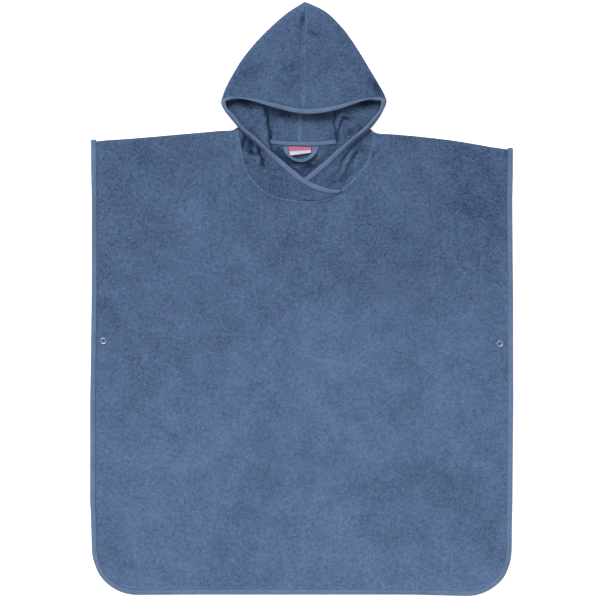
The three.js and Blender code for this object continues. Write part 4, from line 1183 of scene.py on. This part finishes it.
def add_label():
    """Blank woven label, a little askew, its lower edge held up by the loop."""
    top = TERRY_THICK + TAPE_THICK + 2 * SEAM_GAP
    corners = np.array([
        [(-20, 233.8, top), (16, 232.8, top)],
        [(-17.2, 219, top + 3.7), (15, 223.6, top + 2.6)]], float)
    down, across = np.meshgrid(np.linspace(0, 1, 22), np.linspace(0, 1, 30), indexing="ij")
    weight_d, weight_a = down[..., None], across[..., None]
    upper_line = mix(corners[0, 0], corners[0, 1], weight_a)
    lower_line = mix(corners[1, 0], corners[1, 1], weight_a)
    surface = mix(upper_line, lower_line, weight_d)
    surface[..., 2] += 0.45 * np.sin(math.pi * down) + 0.3 * down * np.sin(across * 5.1 + 0.6)
    edge = np.minimum(np.minimum(down, 1 - down) * 15, np.minimum(across, 1 - across) * 36)
    thick = 0.55 + 0.2 * smooth(1 - np.abs(edge - 0.9) / 0.7)
    upper, lower = surface.copy(), surface.copy()
    upper[..., 2] += 0.1 + thick
    lower[..., 2] += 0.1
    piece = shell("neck_label_cloth", upper, lower, "label", ["neck_label"])
    layer = piece.data.uv_layers.new(name="along_across")
    spot = np.stack([across, down], axis=-1).reshape(-1, 2)
    spot = np.concatenate([spot, spot])
    loops = np.zeros(len(piece.data.loops), np.int64)
    piece.data.loops.foreach_get("vertex_index", loops)
    layer.data.foreach_set("uv", spot[loops].ravel())
    start, end = corners[0] + [(1.0, -1.3, 1.05), (-1.0, -1.3, 1.05)]
    path = mix(start, end, np.linspace(0, 1, 20)[:, None])
    up = np.tile((0.0, 0.0, 1.0), (20, 1))
    thread = stitches("neck_label_stitches", path, up, "thread", 2.2, 1.5, 0.4)
    return piece, thread


neck_tape, neck_thread = add_neck_tape()
loop_ribbon = add_hanger_loop()
label_cloth, label_thread = add_label()


# Ring snaps


def ring_profile(low, high, hole, rim):
    """Rounded ring: full outer roll, flat top, inner edge turned down into the cloth."""
    middle = (low + high) / 2
    return [
        (hole, low), (rim - 0.35, low), (rim - 0.05, low + 0.2), (rim, middle),
        (rim - 0.12, high - 0.22), (rim - 0.45, high - 0.03), (rim - 0.9, high),
        (hole + 0.8, high - 0.06), (hole + 0.3, high - 0.22), (hole + 0.04, high - 0.5),
    ]


def add_snap(side, centre):
    back_top = BINDING_HALF + SQUEEZED_THICK / 2
    front_under = FRONT_BOUND_MIDDLE - SQUEEZED_THICK / 2
    front_over = FRONT_BOUND_MIDDLE + SQUEEZED_THICK / 2 + SEAM_GAP
    flange = back_top + SEAM_GAP
    flange_top = flange + 0.6
    socket_low, socket_top = flange_top + SEAM_GAP, front_under - SEAM_GAP
    post, hole, plate = 1.6, 3.1, 4.2
    lathe(f"ring_front_{side}_metal", centre,
          ring_profile(front_over - 0.25, front_over + 1.0, hole, SNAP_RADIUS),
          "snap_metal", [f"ring_front_{side}"])
    lathe(f"ring_back_{side}_metal", centre,
          [(r, 1.0 - z) for r, z in ring_profile(0.0, 1.0, hole, SNAP_RADIUS)],
          "snap_metal", [f"ring_back_{side}"])
    lathe(f"socket_{side}_metal", centre, [
        (post + SEAM_GAP, socket_low), (plate - 0.3, socket_low), (plate, socket_low + 0.2),
        (plate, socket_top - 0.2), (plate - 0.3, socket_top), (post + SEAM_GAP, socket_top)],
        "snap_metal", [f"socket_{side}"])
    lathe(f"stud_{side}_metal", centre, [
        (0.05, flange), (plate - 0.2, flange), (plate, flange + 0.2), (plate - 0.1, flange_top),
        (post, flange_top), (post + 0.12, socket_top - 0.5), (post - 0.3, socket_top),
        (0.05, socket_top)], "snap_metal", [f"stud_{side}"])


for snap_side, snap_centre in SNAPS.items():
    add_snap(snap_side, snap_centre)


# Floor, light and camera


def add_floor():
    mesh = bpy.data.meshes.new("pale_floor")
    half, level = 2.5, -0.0004
    mesh.from_pydata([(-half, -half, level), (half, -half, level),
                      (half, half, level), (-half, half, level)], [], [(0, 1, 2, 3)])
    mesh.materials.append(floor_material())
    floor = bpy.data.objects.new("pale_floor", mesh)
    bpy.context.scene.collection.objects.link(floor)


def add_light(name, kind, place, strength, **settings):
    """A lamp that shines from its place toward the middle of the cloth."""
    lamp = bpy.data.lights.new(name, kind)
    lamp.energy = strength
    for key, value in settings.items():
        setattr(lamp, key, value)
    holder = bpy.data.objects.new(name, lamp)
    holder.location = place
    x, y, z = place
    tilt, turn = math.atan2(math.hypot(x, y), z), math.atan2(y, x) + math.pi / 2
    holder.rotation_euler = (tilt, 0, turn)
    bpy.context.scene.collection.objects.link(holder)


def add_world(strength):
    world = bpy.data.worlds.new("soft_room")
    world.use_nodes = True
    backdrop = world.node_tree.nodes["Background"]
    backdrop.inputs["Color"].default_value = (1.0, 1.0, 1.0, 1.0)
    backdrop.inputs["Strength"].default_value = strength
    bpy.context.scene.world = world


def add_camera():
    """Straight above the cloth: 600 pixels take in 924 mm of it."""
    lens, sensor, view_width = 90.0, 36.0, 0.924
    camera = bpy.data.cameras.new("camera")
    camera.lens = lens
    camera.sensor_width = sensor
    camera.clip_end = 20
    holder = bpy.data.objects.new("camera", camera)
    holder.location = (-0.0020, -0.0029, view_width * lens / sensor + 0.006)
    bpy.context.scene.collection.objects.link(holder)
    bpy.context.scene.camera = holder


add_floor()
add_world(0.45)
add_light("key", "SUN", (-0.28, 0.55, 0.80), 3.0, angle=math.radians(34))
add_light("lower_fill", "AREA", (-0.1, -0.8, 1.5), 5, shape="DISK", size=1.2)
add_camera()
bpy.context.scene.view_settings.view_transform = "Standard"
